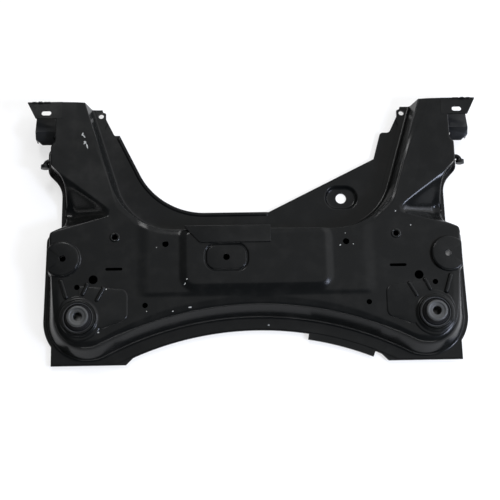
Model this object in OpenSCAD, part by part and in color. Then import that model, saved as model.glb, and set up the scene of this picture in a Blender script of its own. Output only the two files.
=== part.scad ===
// Front subframe of a car: two pressed steel sheets welded into a box that is U-shaped in plan,
// with two rubber body bushes, bolt tubes, welded nuts and small brackets at the horns.
// X is to the right, Y to the front and Z up. The origin is on the ground under the middle.

/* [Sheets] */
// Thickness of the upper pressing
upper_t = 3; // [2.5:0.1:3.5]
// Thickness of the lower pressing
lower_t = 3; // [2.5:0.1:3.5]
// Height of the deck's top face over the lower pressing
box_h = 52; // [46:1:58]
// Height of the lower pressing over the ground
ground_gap = 6; // [5:0.5:8]
// Run of a bend on each side of its edge
bend = 5; // [4:0.5:6]
// Gap at a welded or pushed-in fit
weld_gap = 0.3; // [0.1:0.05:0.5]

/* [Cross-member] */
// Front edge of the deck
deck_front_y = -8; // [-14:1:0]
// Foot of the rear wall at the middle
rear_foot_y = -179; // [-184:1:-174]
// Middle of a rear corner, across
corner_x = 340; // [336:1:344]
// Middle of a rear corner, along
corner_y = -181; // [-185:1:-177]
// Radius of a rear corner at the foot of its wall
corner_r = 81; // [78:1:84]
// Lean of the rear wall from foot to top
rear_lean = 17; // [14:1:20]
// Width of the rear weld flange
rear_flange = 24; // [20:1:28]
// How far the lower pressing shows past the upper one
flange_step = 3; // [1:0.5:4]
// Outer edge of a rear corner tab
tab_x = 414; // [408:1:420]
// Rear edge of the rear corner tabs
tab_y = -272; // [-276:1:-268]
// Inner end of a rear corner tab
tab_inner_x = 264; // [260:1:270]
// Bevel at that end
tab_bevel = 14; // [10:1:18]
// Width of the locating plate on the rear flange
rear_step = 10; // [6:1:12]
// Inner end of the locating plate
rear_step_from_x = 103; // [95:1:115]
// Outer end of the locating plate
rear_step_to_x = 236; // [225:1:242]

/* [Arms] */
// Front edge of the upper pressing
tip_y = 270; // [262:1:276]
// Front edge of the lower pressing, ahead of the upper one
tip_step = 2; // [1:0.5:4]
// Inner edge of the deck at the horn tip
tip_inner_x = 346; // [340:1:352]
// Angle of an arm's inner edge to the middle line
arm_angle = 17; // [15:0.5:19]
// Radius of the deck's edge between arm and cross-member
arm_bend_r = 140; // [125:1:150]
// Foot of an arm's outer wall
arm_outer_x = 412; // [408:1:416]
// Rear end of an arm's straight outer wall
arm_outer_y = 128; // [120:1:135]
// Lean of an arm's outer wall
arm_lean = 8; // [6:0.5:10]
// Lean of the walls round the engine bay
inner_lean = 13; // [10:1:16]
// Width of the weld flange round the engine bay
inner_flange = 8; // [7:0.5:11]
// Width of that flange at the horn bolt holes
horn_flange = 15; // [13:0.5:16]
// Length of that wide stretch of flange
horn_flange_l = 34; // [28:1:40]
// Width of the weld flange on the sides
side_flange = 7; // [6.5:0.5:10]
// How far the shoulder's foot stands out past the arm's outer wall
shoulder_out = 0; // [-4:0.5:4]
// Foot of the wall at the shoulder, along
shoulder_y = -11; // [-16:1:-6]
// Depth of the notch before the shoulder
notch_in = 24; // [20:0.5:28]
// Foot of the wall at the notch before the shoulder, along
notch_y = 4; // [0:1:8]
// Depth of the waist
waist_in = 21; // [18:0.5:24]
// Foot of the wall at the waist, along
waist_y = 66; // [60:1:72]

/* [Deck forms] */
// Rise of the middle plateau
plateau_h = 8; // [5:0.5:11]
// Half width of the plateau's top
plateau_x = 137; // [130:1:142]
// Rear edge of the plateau's top
plateau_y = -119; // [-123:1:-112]
// Run of the plateau's walls
plateau_run = 20; // [14:1:22]
// Apex of a scoop, across
scoop_x = 281; // [277:1:285]
// Apex of a scoop, along
scoop_y = 28; // [24:1:32]
// Plain length at a scoop's apex
scoop_tip = 14; // [8:1:20]
// Share of a scoop's length at which its ledge starts
scoop_ledge_share = 0.86; // [0.8:0.01:0.95]
// Power that sets a scoop's deepest line behind its middle
scoop_skew = 0.7; // [0.6:0.02:1]
// Rise of the ledge at a scoop's mouth over the flange
ledge_h = 3; // [2:0.5:6]
// Rise of the lands round the bushes
land_h = 1.5; // [1:0.1:2]
// Radius of the land round a bush
land_r = 46; // [44:1:48]
// Reach of the land from the bush axis to the middle
land_reach = 96; // [90:1:102]
// Reach of the land's inner end ahead of the bush axis
land_front = 57; // [52:1:62]
// Reach of the land's rear edge behind the bush axis
land_back = 22; // [18:1:26]
// Radius of the land's corners
land_round = 16; // [10:1:22]
// Rise of the stiffening beads
bead_h = 2.5; // [1.5:0.1:3]
// Width of the stiffening beads
bead_w = 9; // [8:0.5:11]
// Distance from a bush's axis at which its beads start
bead_start = 49; // [47:0.5:52]
// Length of the inner bead
inner_bead_l = 32; // [24:1:36]
// Direction of the inner bead from the bush
inner_bead_angle = 135; // [130:1:140]
// Length of the middle bead
middle_bead_l = 22; // [16:1:25]
// Direction of the middle bead from the bush
middle_bead_angle = 106; // [102:1:110]
// Length of the outer bead
outer_bead_l = 36; // [28:1:40]
// Direction of the outer bead from the bush
outer_bead_angle = 63; // [60:1:66]
// Width of the land round a front nut's hole
nut_land_w = 4.5; // [3:0.5:7]

/* [Arm pads] */
// Middle of an arm pad, across
pad_x = 387; // [384:1:390]
// Middle of an arm pad, along
pad_y = -65; // [-70:1:-60]
// Radius of an arm pad
pad_r = 37; // [33:1:39]
// Rise of an arm pad over the deck
pad_h = 8; // [5:0.5:10]
// Room between an arm pad's outer face and the foot of the side wall
pad_inset = 2; // [1:0.5:4]
// Diameter of the arm bolt holes
arm_hole_d = 12.5; // [10.5:0.5:14.5]
// Wall of the arm bolt tubes
arm_tube_wall = 5; // [3:0.5:7]

/* [Ring boss] */
// Middle of the ring boss, across
ring_x = -60; // [-70:1:-52]
// Middle of the ring boss, along
ring_y = -67; // [-70:1:-64]
// Length of the ring boss
ring_l = 92; // [84:1:98]
// Width of the ring boss
ring_w = 62; // [56:1:66]
// Width of the groove round the boss
ring_groove = 8; // [6:0.5:10]
// Depth of the groove round the boss
ring_depth = 2.5; // [1.5:0.1:3]

/* [Holes and nuts] */
// Rack bolt, across
rack_x = 182; // [178:1:188]
// Rack bolt, along
rack_y = -37; // [-42:1:-32]
// Diameter of the rack bolt holes
rack_hole_d = 13; // [10.5:0.5:14.5]
// Wall of the rack bolt tubes
rack_tube_wall = 5; // [3:0.5:7]
// Front welded nut, across
front_nut_x = 284; // [278:1:290]
// Front welded nut, along
front_nut_y = -21; // [-26:1:-16]
// Rear welded nut, across
rear_nut_x = 223; // [218:1:228]
// Rear welded nut, along
rear_nut_y = -162; // [-166:1:-158]
// Thread diameter of the front and rear welded nuts
nut_thread_d = 10; // [8:1:12]
// Thread diameter of the middle welded nut
middle_thread_d = 12; // [10:1:14]
// Width of a welded nut across its flats, more than its thread
nut_flat_extra = 7; // [6:0.5:9]
// Height of the welded nuts
nut_h = 10; // [8:0.5:12]
// Room round a thread in the sheet
thread_room = 0.5; // [0.3:0.1:1]
// Diameter of the tool holes in the lower pressing
tool_hole_d = 26; // [22:1:30]
// Diameter of the drain hole beside a bush
drain_hole_d = 18; // [14:1:20]
// Drain hole, across
drain_x = 326; // [322:1:330]
// Drain hole, along
drain_y = -108; // [-112:1:-104]
// Diameter of the small gauge hole beside a bush
gauge_hole_d = 11; // [8:1:13]
// Gauge hole, across
gauge_x = 358; // [355:1:361]
// Gauge hole, along
gauge_y = -123; // [-126:1:-120]
// Slot, across
slot_x = 285; // [280:1:290]
// Slot, along
slot_y = -87; // [-92:1:-82]
// Length of the slots
slot_l = 34; // [26:1:40]
// Width of the slots
slot_w = 6; // [5:0.5:9]
// Horn bolt hole, across
horn_hole_x = 318; // [316:0.5:319]
// Horn bolt hole, along
horn_hole_y = 258; // [255:0.5:261]
// Diameter of the horn bolt holes
horn_hole_d = 11; // [9:0.5:12]

/* [Lower pressing] */
// Width of the lower pressing in front of the deck's edge
front_strip = 51; // [46:1:56]
// Radius of its edge in the left corner of the bay
bay_r = 98; // [85:1:105]
// Angle of its left edge to the middle line
bay_angle = 26; // [24:0.5:28]
// Corner of the bay on the left
bay_corner_x = -195; // [-200:1:-190]
// Front end of its left edge
bay_end_y = 215; // [208:1:220]
// Start of the torque rod gusset's edge
gusset_from_x = 30; // [20:1:40]
// End of the gusset's edge, across
gusset_to_x = 254; // [250:1:258]
// End of the gusset's edge, along
gusset_to_y = 156; // [150:1:162]
// Run of its edge outwards from there to the horn
gusset_side_run = 17; // [12:1:22]
// Inner edge of the lower pressing at the horn
horn_plate_x = 308; // [304:1:310]
// Width of the step in that edge
horn_step_w = 18; // [14:1:22]
// Length of that edge behind the front
horn_step_l = 20; // [16:1:24]
// Radius of the corners in that edge
horn_step_r = 8; // [5:0.5:10]
// Rise of the lip along the bay
lip_h = 2; // [1.5:0.1:3]
// Width of the lip along the bay
lip_w = 7; // [5:0.5:9]
// Torque rod dish, across
dish_x = 182; // [176:1:188]
// Torque rod dish, along
dish_y = 72; // [68:1:75]
// Length of the dish
dish_l = 68; // [62:1:72]
// Width of the dish
dish_w = 51; // [46:1:54]
// Run of the dish's wall
dish_run = 6; // [4:0.5:8]
// Diameter of the torque rod hole
torque_hole_d = 22; // [16:0.5:24]

/* [Patch] */
// Left end of the patch's front edge
patch_from_x = -134; // [-136:1:-128]
// Right end of the patch
patch_to_x = 30; // [24:1:40]
// Depth of the patch on the plateau
patch_depth = 29; // [24:1:31]
// Run of the patch's bevelled end
patch_end_run = 26; // [20:1:30]
// Drop of the patch's front lip
patch_lip = 8; // [6:0.5:12]
// Room between the deck's edge and the front lip
patch_room = 3; // [2:0.5:5]
// Thickness of the patch
patch_t = 3; // [2:0.1:4]

/* [Horn ears] */
// Reach of an ear's front corner past the arm's outer wall
ear_reach = 54; // [48:1:60]
// Reach of an ear's rear corner past the arm's outer wall
ear_rear_reach = 34; // [30:1:40]
// Depth of an ear
ear_depth = 32; // [28:1:36]
// Middle of an ear's slot, past the arm's outer wall
ear_slot_out = 17; // [15:0.5:20]
// Middle of an ear's slot, behind its front edge
ear_slot_back = 20; // [17:0.5:23]
// Length of an ear's slot
ear_slot_l = 19; // [14:1:20]
// Width of an ear's slot
ear_slot_w = 10; // [8:0.5:12]
// Height of the ridge on an ear's front edge
ear_ridge = 4; // [2:0.5:6]

/* [Box brackets] */
// Reach of a box bracket past the arm's outer wall
box_reach = 38; // [32:1:44]
// Front edge of a box bracket
box_front_y = 235; // [230:1:237]
// Fold of a box bracket
box_fold_y = 212; // [207:1:217]
// Rear edge of a box bracket
box_rear_y = 182; // [177:1:187]
// Height of a box bracket's fold over the ground
box_fold_z = 46; // [40:1:52]
// Fall of a box bracket's two leaves
box_fall = 13; // [9:0.5:16]
// Drop of a box bracket's outer cheek
box_cheek = 20; // [14:1:24]
// Cut across a box bracket's rear corner
box_cut = 13; // [9:1:17]
// Thickness of a box bracket
box_t = 2.5; // [2:0.1:3]
// Diameter of the hole in a box bracket
box_hole_d = 8; // [6:0.5:10]
// Middle of that hole, from the arm's outer wall
box_hole_out = 13; // [10:0.5:16]

/* [Hooks] */
// Diameter of a hook's rod
hook_d = 6; // [4:0.5:8]
// A hook's place along the arm
hook_y = 148; // [144:1:154]
// A hook's height over the ground
hook_z = 42; // [38:1:46]
// Straight length of a hook's rod
hook_reach = 12; // [9:1:15]
// Radius of a hook's bend
hook_bend_r = 9; // [7:0.5:11]
// Diameter of a hook's head
hook_head_d = 15; // [12:0.5:18]
// Thickness of a hook's head
hook_head_t = 5; // [3:0.5:7]

/* [Bushes] */
// Bush axis, across
bush_x = 354; // [351:1:357]
// Bush axis, along
bush_y = -186; // [-189:1:-183]
// Outer diameter of a bush housing
housing_d = 66; // [62:1:69]
// Wall of a bush housing
housing_wall = 3; // [2:0.25:4]
// How far a bush housing stands over the deck
housing_rise = 10; // [7:0.5:13]
// Wall of a bush's outer sleeve
sleeve_wall = 2; // [1.5:0.25:3]
// How far a bush's outer sleeve stands back from its housing's top
sleeve_back = 1.5; // [1:0.25:2.5]
// Bolt hole through a bush
bush_bore_d = 17; // [14:0.5:19]
// Wall of a bush's core
core_wall = 4.5; // [3:0.25:6]
// Diameter of the core's collar
collar_d = 42; // [38:1:46]
// Thickness of the core's collar
collar_t = 5; // [4:0.5:7]
// Bevel of the collar's rim
collar_bevel = 1; // [0.5:0.1:1.5]
// How far the collar's top stands over the housing
collar_rise = 12; // [9:0.5:15]
// Depth of the hollows in the rubber's ends
rubber_hollow = 8; // [5:0.5:11]
// Height of the flared rim round a bush housing
flare_h = 5; // [3:0.5:6]
// Width of the flared rim round a bush housing
flare_w = 6; // [4:0.5:8]

/* [Hidden] */
$fn = 48;
cut = 1;

// Heights of the faces, from the ground up
plate_top = ground_gap + lower_t;
flange_top = plate_top + upper_t;
deck_top = plate_top + box_h;
deck_under = deck_top - upper_t;
plateau_top = deck_top + plateau_h;
pad_top = deck_top + pad_h;
housing_top = deck_top + housing_rise;
collar_top = housing_top + collar_rise;

// Plan geometry of the walls' feet
shoulder_x = arm_outer_x + shoulder_out;
notch_x = shoulder_x - notch_in;
waist_x = arm_outer_x - waist_in;
rear_drop = corner_y - rear_foot_y;
rear_r = (corner_x * corner_x + rear_drop * rear_drop - corner_r * corner_r) / (2 * (corner_r - rear_drop));
rear_centre = [0, rear_foot_y - rear_r];
corner = [corner_x, corner_y];
rear_turn = atan(corner_x / (rear_drop + rear_r));
shoulder = [shoulder_x, shoulder_y];
side_turn = atan2(shoulder_y - corner_y, shoulder_x - corner_x) - acos(corner_r / norm(shoulder - corner));
shoulder_round = 12;
waist_round = 60;
arc_steps = 12;

function unit(v) = v / norm(v);
function left_of(v) = [-v[1], v[0]];
function turned(v, angle) = [v[0] * cos(angle) - v[1] * sin(angle), v[0] * sin(angle) + v[1] * cos(angle)];
function mix(a, b, share) = a + (b - a) * share;
function smooth(share) = let (c = min(max(share, 0), 1)) c * c * (3 - 2 * c);
function reverse(list) = [for (i = [len(list) - 1:-1:0]) list[i]];
function mirrored(points) = [for (p = points) [-p[0], p[1]]];
function plan(v) = [v[0], v[1]];

// One vertex [x, y, radius] of a path as points, rounded if it has a radius
function rounded_vertex(path, i) =
    i == 0 || i == len(path) - 1 || path[i][2] == 0 ? [plan(path[i])] :
    let (
        tip = plan(path[i]),
        back = unit(plan(path[i - 1]) - tip),
        ahead = unit(plan(path[i + 1]) - tip),
        half = acos(back * ahead) / 2,
        centre = tip + unit(back + ahead) * path[i][2] / sin(half),
        start = tip + back * path[i][2] / tan(half) - centre,
        turn = sign(cross(-back, ahead)) * (180 - 2 * half)
    )
    [for (k = [0:arc_steps]) centre + turned(start, turn * k / arc_steps)];
function rounded(path) = [for (i = [0:len(path) - 1]) each rounded_vertex(path, i)];

// Length along a row of points up to each one, and the point at a length
function lengths(points) =
    [for (i = 0, run = 0; i < len(points); run = run + norm(points[min(i + 1, len(points) - 1)] - points[i]), i = i + 1) run];
function column(points, runs, axis) = [for (i = [0:len(points) - 1]) [runs[i], points[i][axis]]];

// Foot of the outer wall on the right, from the rear middle round to the horn tip
rear_arc = [for (k = [0:arc_steps]) rear_centre + rear_r * turned([0, 1], -rear_turn * k / arc_steps)];
corner_sweep = 90 + rear_turn + side_turn;
corner_arc =
    [for (k = [1:arc_steps]) corner + corner_r * turned([1, 0], side_turn - corner_sweep * (1 - k / arc_steps))];
side_path = rounded([
    concat(corner_arc[arc_steps - 1], 0),
    [shoulder_x, shoulder_y, shoulder_round],
    [notch_x, notch_y, shoulder_round],
    [waist_x, waist_y, waist_round],
    [arm_outer_x, arm_outer_y, waist_round],
    [arm_outer_x, tip_y, 0]
]);
foot = concat(rear_arc, corner_arc, [for (i = [1:len(side_path) - 1]) side_path[i]]);
foot_runs = lengths(foot);
foot_xs = column(foot, foot_runs, 0);
foot_ys = column(foot, foot_runs, 1);
foot_end = foot_runs[len(foot) - 1];
function foot_at(s) = [lookup(s, foot_xs), lookup(s, foot_ys)];
function foot_inward(s) = unit(left_of(foot_at(min(s + cut, foot_end)) - foot_at(max(s - cut, 0))));
function rear_run(x) = rear_r * asin(x / rear_r) * PI / 180;

// Deck's edge round the engine bay on the right, from the middle to the horn tip
knee_x = tip_inner_x - (tip_y - deck_front_y) * tan(arm_angle);
knee_turn = 90 - arm_angle;
bay_edge = rounded([[0, deck_front_y, 0], [knee_x, deck_front_y, arm_bend_r], [tip_inner_x, tip_y, 0]]);
bay_runs = lengths(bay_edge);
bay_xs = column(bay_edge, bay_runs, 0);
bay_ys = column(bay_edge, bay_runs, 1);
bay_straight = knee_x - arm_bend_r * tan(knee_turn / 2);
bay_arc = arm_bend_r * knee_turn * PI / 180;
bay_run_end = bay_runs[len(bay_edge) - 1];
function bay_at(s) = [lookup(s, bay_xs), lookup(s, bay_ys)];
function bay_outward(s) = unit(left_of(bay_at(min(s + cut, bay_run_end)) - bay_at(max(s - cut, 0))));

// Lengths along the foot at which its pieces end
run_corner = foot_runs[arc_steps];
run_side = foot_runs[2 * arc_steps];
run_shoulder = run_side + norm(shoulder - corner_arc[arc_steps - 1]);
run_notch = run_shoulder + norm([notch_x, notch_y] - shoulder);
run_arm = foot_end - (tip_y - arm_outer_y);
plateau_foot_x = plateau_x + plateau_run;
plateau_foot_y = plateau_y - plateau_run;

// Each station pairs a length along the foot with a length along the bay's edge
corner_share = 0.2;
side_share = 0.42;
shoulder_share = 0.55;
arm_share = 0.85;
station_pairs = [
    [0, 0],
    [rear_run(plateau_x), plateau_x],
    [rear_run(plateau_foot_x), plateau_foot_x],
    [run_corner, bay_straight + corner_share * bay_arc],
    [run_side, bay_straight + side_share * bay_arc],
    [run_shoulder, bay_straight + shoulder_share * bay_arc],
    [run_arm, bay_straight + arm_share * bay_arc],
    [foot_end, bay_run_end]
];
function spread(from, to, count) = [for (k = [1:count]) mix(from, to, k / count)];
stations = concat(
    [0],
    spread(0, rear_run(plateau_x), 5),
    spread(rear_run(plateau_x), rear_run(plateau_foot_x), 3),
    spread(rear_run(plateau_foot_x), run_corner, 5),
    spread(run_corner, run_side, 11),
    spread(run_side, run_shoulder, 6),
    spread(run_shoulder, run_notch, 4),
    spread(run_notch, run_arm, 12),
    spread(run_arm, foot_end, 6)
);

// Edge of a weld flange: parallel to the foot, but square at the rear corner tabs. The step is how far
// it lies past the upper pressing's edge
function corner_reach(way, step) =
    let (
        back = flange_step - step,
        side = way[0] > 0 ? (tab_x - back - corner_x) / way[0] : tab_x,
        rear = way[1] < 0 ? (corner_y - tab_y - back) / -way[1] : tab_x
    )
    max(corner_r + side_flange + step, min(side, rear));
function rim_at(s, step) =
    let (at = foot_at(s), inward = foot_inward(s))
    s < run_corner ?
        let (edge = at - (rear_flange + step) * inward) [edge[0], max(edge[1], tab_y + flange_step - step)] :
    s <= run_side ?
        let (way = unit(at - corner)) corner + way * corner_reach(way, step) :
    at - (side_flange + step) * inward;
function lean_at(s) =
    lookup(s, [[0, rear_lean], [run_side, rear_lean], [run_shoulder, arm_lean], [foot_end, arm_lean]]);

// Height of the deck's top face with its middle plateau
function plateau_rise(p) =
    plateau_h * smooth((plateau_foot_x - abs(p[0])) / plateau_run) * smooth((p[1] - plateau_foot_y) / plateau_run);
function deck_z(p) = deck_top + plateau_rise(p);

// A scoop lies between the shoulder and the start of the arm's straight wall. It falls along each line
// out from its apex, most along the deepest line, and ends in a level ledge at its mouth
scoop_apex = [scoop_x, scoop_y];
scoop_depth = deck_top - flange_top - ledge_h;
function edge_at(s) = foot_at(s) + foot_inward(s) * lean_at(s);
function deck_start(s) = edge_at(s) + foot_inward(s) * bend;
function scoop_way(s) = unit(deck_start(s) - scoop_apex);
function scoop_angle(s) = let (way = scoop_way(s)) atan2(way[1], way[0]);
scoop_rear_angle = scoop_angle(run_shoulder);
scoop_front_angle = scoop_angle(run_arm);
function scoop_fall(s) =
    s <= run_shoulder || s >= run_arm ? 0 :
    let (across = (scoop_angle(s) - scoop_rear_angle) / (scoop_front_angle - scoop_rear_angle))
    scoop_depth * sin(180 * pow(min(max(across, 0), 1), scoop_skew));

// Section of the upper pressing at a station, from its outer flange to its inner one. On the deck it
// has a knee, which goes round the apex of a scoop
rear_span = deck_front_y - bend - (rear_foot_y + rear_lean + bend);
plateau_foot_share = (plateau_foot_y - rear_foot_y - rear_lean - bend) / rear_span;
plateau_top_share = (plateau_y - rear_foot_y - rear_lean - bend) / rear_span;
knee_share = 0.6;
outer_shares = [
    0, plateau_foot_share / 2, plateau_foot_share, (plateau_foot_share + plateau_top_share) / 2,
    plateau_top_share, mix(plateau_top_share, knee_share, 0.5)
];
inner_shares = [knee_share, mix(knee_share, 1, 0.25), mix(knee_share, 1, 0.5), mix(knee_share, 1, 0.75), 1];
function near_scoop(s) =
    s < run_shoulder ? smooth((s - run_side) / (run_shoulder - run_side)) :
    s > run_arm ? 1 - smooth((s - run_arm) / (foot_end - run_arm)) : 1;
function deck_knee(s, from, to) =
    mix(mix(from, to, knee_share), scoop_apex + scoop_tip * scoop_way(s), near_scoop(s));
function fall_share(share) = min((1 - share / knee_share) / scoop_ledge_share, 1);
bend_share = bend / box_h;
function trimmed(p) = p[1] > tip_y ? p - (p[1] - tip_y) * [tan(arm_angle), 1] : p;
function at_z(p, z) = let (q = trimmed(p)) [q[0], q[1], z];
function inner_flange_at(run) = lookup(run, [
    [0, inner_flange],
    [bay_run_end - horn_flange_l - inner_flange, inner_flange],
    [bay_run_end - horn_flange_l, horn_flange],
    [bay_run_end, horn_flange]
]);
function wall_point(from, to, from_z, to_z, share) = at_z(mix(from, to, share), mix(from_z, to_z, share));
function section_at(s) =
    let (
        foot_p = foot_at(s),
        inward = foot_inward(s),
        rim = rim_at(s, 0),
        run_in = lookup(s, station_pairs),
        outward = bay_outward(run_in),
        edge_in = bay_at(run_in),
        edge_out = edge_at(s),
        deck_from = deck_start(s),
        deck_to = edge_in - outward * bend,
        deck_mid = deck_knee(s, deck_from, deck_to),
        fall = scoop_fall(s),
        foot_in = edge_in + outward * inner_lean,
        flat = foot_p - inward * bend,
        flat_in = foot_in + outward * bend,
        rim_in = foot_in + outward * (bend + inner_flange_at(run_in))
    )
    concat(
        [at_z(rim, flange_top), at_z(mix(rim, flat, 0.5), flange_top), at_z(flat, flange_top)],
        [for (share = [bend_share, 1 - bend_share])
            wall_point(foot_p, edge_out, flange_top, deck_z(deck_from) - fall, share)],
        [for (share = outer_shares) let (p = mix(deck_from, deck_mid, share / knee_share))
            at_z(p, deck_z(p) - fall * fall_share(share))],
        [for (share = inner_shares) let (p = mix(deck_mid, deck_to, (share - knee_share) / (1 - knee_share)))
            at_z(p, deck_z(p))],
        [for (share = [1 - bend_share, bend_share])
            wall_point(foot_in, edge_in, flange_top, deck_z(deck_to), share)],
        [at_z(flat_in, flange_top), at_z(mix(flat_in, rim_in, 0.5), flange_top), at_z(rim_in, flange_top)]
    );
right_sections = [for (s = stations) section_at(s)];
function flipped(section) = [for (p = section) [-p[0], p[1], p[2]]];
sections = concat([for (i = [len(stations) - 1:-1:1]) flipped(right_sections[i])], right_sections);

// Sheet of an even thickness under a grid of points
module sheet_under(grid, thickness) {
    rows = len(grid);
    cols = len(grid[0]);
    function normal_at(i, j) =
        let (
            along = grid[min(i + 1, rows - 1)][j] - grid[max(i - 1, 0)][j],
            across = grid[i][min(j + 1, cols - 1)] - grid[i][max(j - 1, 0)]
        )
        unit(cross(along, across));
    top = [for (i = [0:rows - 1]) for (j = [0:cols - 1]) grid[i][j]];
    under = [for (i = [0:rows - 1]) for (j = [0:cols - 1]) grid[i][j] - thickness * normal_at(i, j)];
    size = rows * cols;
    function id(i, j) = i * cols + j;
    function both_faces(a, b, c) = [[a, b, c], [size + a, size + c, size + b]];
    function rim_faces(a, b) = [[a, b, size + b], [a, size + b, size + a]];
    faces = concat(
        [for (i = [0:rows - 2]) for (j = [0:cols - 2]) each both_faces(id(i, j), id(i, j + 1), id(i + 1, j + 1))],
        [for (i = [0:rows - 2]) for (j = [0:cols - 2]) each both_faces(id(i, j), id(i + 1, j + 1), id(i + 1, j))],
        [for (i = [0:rows - 2]) each rim_faces(id(i, 0), id(i + 1, 0))],
        [for (i = [0:rows - 2]) each rim_faces(id(i + 1, cols - 1), id(i, cols - 1))],
        [for (j = [0:cols - 2]) each rim_faces(id(0, j + 1), id(0, j))],
        [for (j = [0:cols - 2]) each rim_faces(id(rows - 1, j), id(rows - 1, j + 1))]
    );
    polyhedron(points = concat(top, under), faces = faces);
}

// Small shapes that repeat
module both_sides() {
    children();
    mirror([1, 0, 0]) children();
}
module on_side(side) {
    if (side < 0) mirror([1, 0, 0]) children();
    else children();
}
module drill(x, y, d) {
    translate([x, y, -cut]) cylinder(h = collar_top + 2 * cut, d = d);
}
module slot_outline(length, width) {
    reach = (length - width) / 2;
    square([2 * reach, width], center = true);
    for (side = [-1, 1]) translate([side * reach, 0]) circle(d = width);
}
module bead_outline(from, to, width) {
    way = to - from;
    translate((from + to) / 2) rotate(atan2(way[1], way[0])) slot_outline(norm(way) + width, width);
}
module tube(bottom, top, outer_d, inner_d) {
    translate([0, 0, bottom]) difference() {
        cylinder(h = top - bottom, d = outer_d);
        translate([0, 0, -cut]) cylinder(h = top - bottom + 2 * cut, d = inner_d);
    }
}

// Forms pressed into the deck
bush = [bush_x, bush_y];
function bead(angle, length) = let (way = turned([1, 0], angle)) [bush + bead_start * way, bush + (bead_start + length) * way];
beads = [
    bead(inner_bead_angle, inner_bead_l),
    bead(middle_bead_angle, middle_bead_l),
    bead(outer_bead_angle, outer_bead_l)
];
land_outline = rounded([
    [bush_x, bush_y + land_front + bead_w, 0],
    [bush_x - land_reach, bush_y + land_front, land_round],
    [bush_x - land_reach, bush_y - land_round / 4, land_round],
    [bush_x - land_r, bush_y - land_back, 0],
    [bush_x, bush_y, 0]
]);
module bush_land() {
    translate([0, 0, deck_top - cut]) linear_extrude(cut + land_h) {
        translate(bush) circle(r = land_r);
        polygon(land_outline);
    }
}
module bush_flare() {
    outer_r = housing_d / 2 + weld_gap;
    translate([bush_x, bush_y, deck_top - cut])
        cylinder(h = flare_h + cut, r1 = outer_r + flare_w, r2 = outer_r + upper_t / 2);
}
module deck_beads(bottom, top, width) {
    translate([0, 0, bottom]) linear_extrude(top - bottom)
        for (ends = beads) bead_outline(ends[0], ends[1], width);
}
module arm_pad(shrink) {
    foot_x = mix(shoulder_x, corner_x + corner_r, (shoulder_y - pad_y) / (shoulder_y - corner_y));
    face_x = foot_x - pad_inset - shrink;
    intersection() {
        translate([pad_x, pad_y, flange_top]) cylinder(h = pad_top - flange_top - shrink, r = pad_r - shrink);
        translate([face_x - 3 * pad_r, pad_y - 2 * pad_r, 0]) cube([3 * pad_r, 4 * pad_r, pad_top]);
    }
}
module ear() {
    root_x = arm_outer_x - arm_lean - 3 * bend;
    ridge_from = arm_outer_x + bend;
    ear_x = arm_outer_x + ear_reach;
    translate([0, 0, deck_under]) linear_extrude(upper_t) difference() {
        polygon([
            [root_x, tip_y],
            [ear_x, tip_y],
            [arm_outer_x + ear_rear_reach, tip_y - ear_depth],
            [root_x, tip_y - ear_depth]
        ]);
        translate([arm_outer_x + ear_slot_out, tip_y - ear_slot_back]) slot_outline(ear_slot_l, ear_slot_w);
    }
    translate([ridge_from, tip_y - upper_t, deck_under])
        cube([ear_x - 2 * bend - ridge_from, upper_t, upper_t + ear_ridge]);
}
module ring_groove(bottom, top) {
    translate([ring_x, ring_y, bottom]) linear_extrude(top - bottom) difference() {
        slot_outline(ring_l, ring_w);
        slot_outline(ring_l - 2 * ring_groove, ring_w - 2 * ring_groove);
    }
}

module upper_shell() {
    color("#1d1e20") difference() {
        union() {
            sheet_under(sections, upper_t);
            ring_groove(plateau_top - upper_t - ring_depth, plateau_top - upper_t + cut / 2);
            both_sides() {
                bush_land();
                bush_flare();
                deck_beads(deck_top - cut, deck_top + bead_h, bead_w);
                arm_pad(0);
                ear();
                translate([front_nut_x, front_nut_y, deck_top - cut])
                    cylinder(h = cut + land_h, d = nut_thread_d + 2 * nut_land_w);
            }
        }
        ring_groove(plateau_top - ring_depth, plateau_top + cut);
        drill(ring_x, ring_y, middle_thread_d + 2 * thread_room);
        both_sides() {
            arm_pad(upper_t);
            deck_beads(deck_under - cut, deck_under + bead_h, bead_w - 2 * upper_t + cut);
            drill(bush_x, bush_y, housing_d + 2 * weld_gap);
            drill(pad_x, pad_y, arm_hole_d);
            drill(rack_x, rack_y, rack_hole_d);
            drill(front_nut_x, front_nut_y, nut_thread_d + 2 * thread_room);
            drill(rear_nut_x, rear_nut_y, nut_thread_d + 2 * thread_room);
            drill(drain_x, drain_y, drain_hole_d);
            drill(gauge_x, gauge_y, gauge_hole_d);
            drill(horn_hole_x, horn_hole_y, horn_hole_d);
            translate([slot_x, slot_y, deck_under - cut]) linear_extrude(upper_t + 2 * cut)
                slot_outline(slot_l, slot_w);
        }
    }
}

// Outline of the lower pressing: the upper one's rim, then the edge of the engine bay
front_y = tip_y + tip_step;
strip_y = deck_front_y + front_strip;
bay_end_x = bay_corner_x - (bay_end_y - strip_y) * tan(bay_angle);
bay_path = rounded([
    [bay_end_x, bay_end_y, 0],
    [bay_corner_x, strip_y, bay_r],
    [gusset_from_x, strip_y, 0]
]);
right_horn_path = rounded([
    [gusset_to_x, gusset_to_y, 0],
    [gusset_to_x + gusset_side_run, bay_end_y, horn_step_r],
    [horn_plate_x - horn_step_w, bay_end_y, horn_step_r],
    [horn_plate_x, front_y - horn_step_l, horn_step_r],
    [horn_plate_x, front_y, 0]
]);
left_horn_path = mirrored(rounded([
    [-bay_end_x, bay_end_y, 0],
    [horn_plate_x - horn_step_w, bay_end_y, horn_step_r / 2],
    [horn_plate_x, front_y - horn_step_l, horn_step_r],
    [horn_plate_x, front_y, 0]
]));
right_rim = [for (s = stations) rim_at(s, flange_step)];
rim_tip = [arm_outer_x + side_flange + flange_step, front_y];
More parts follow.
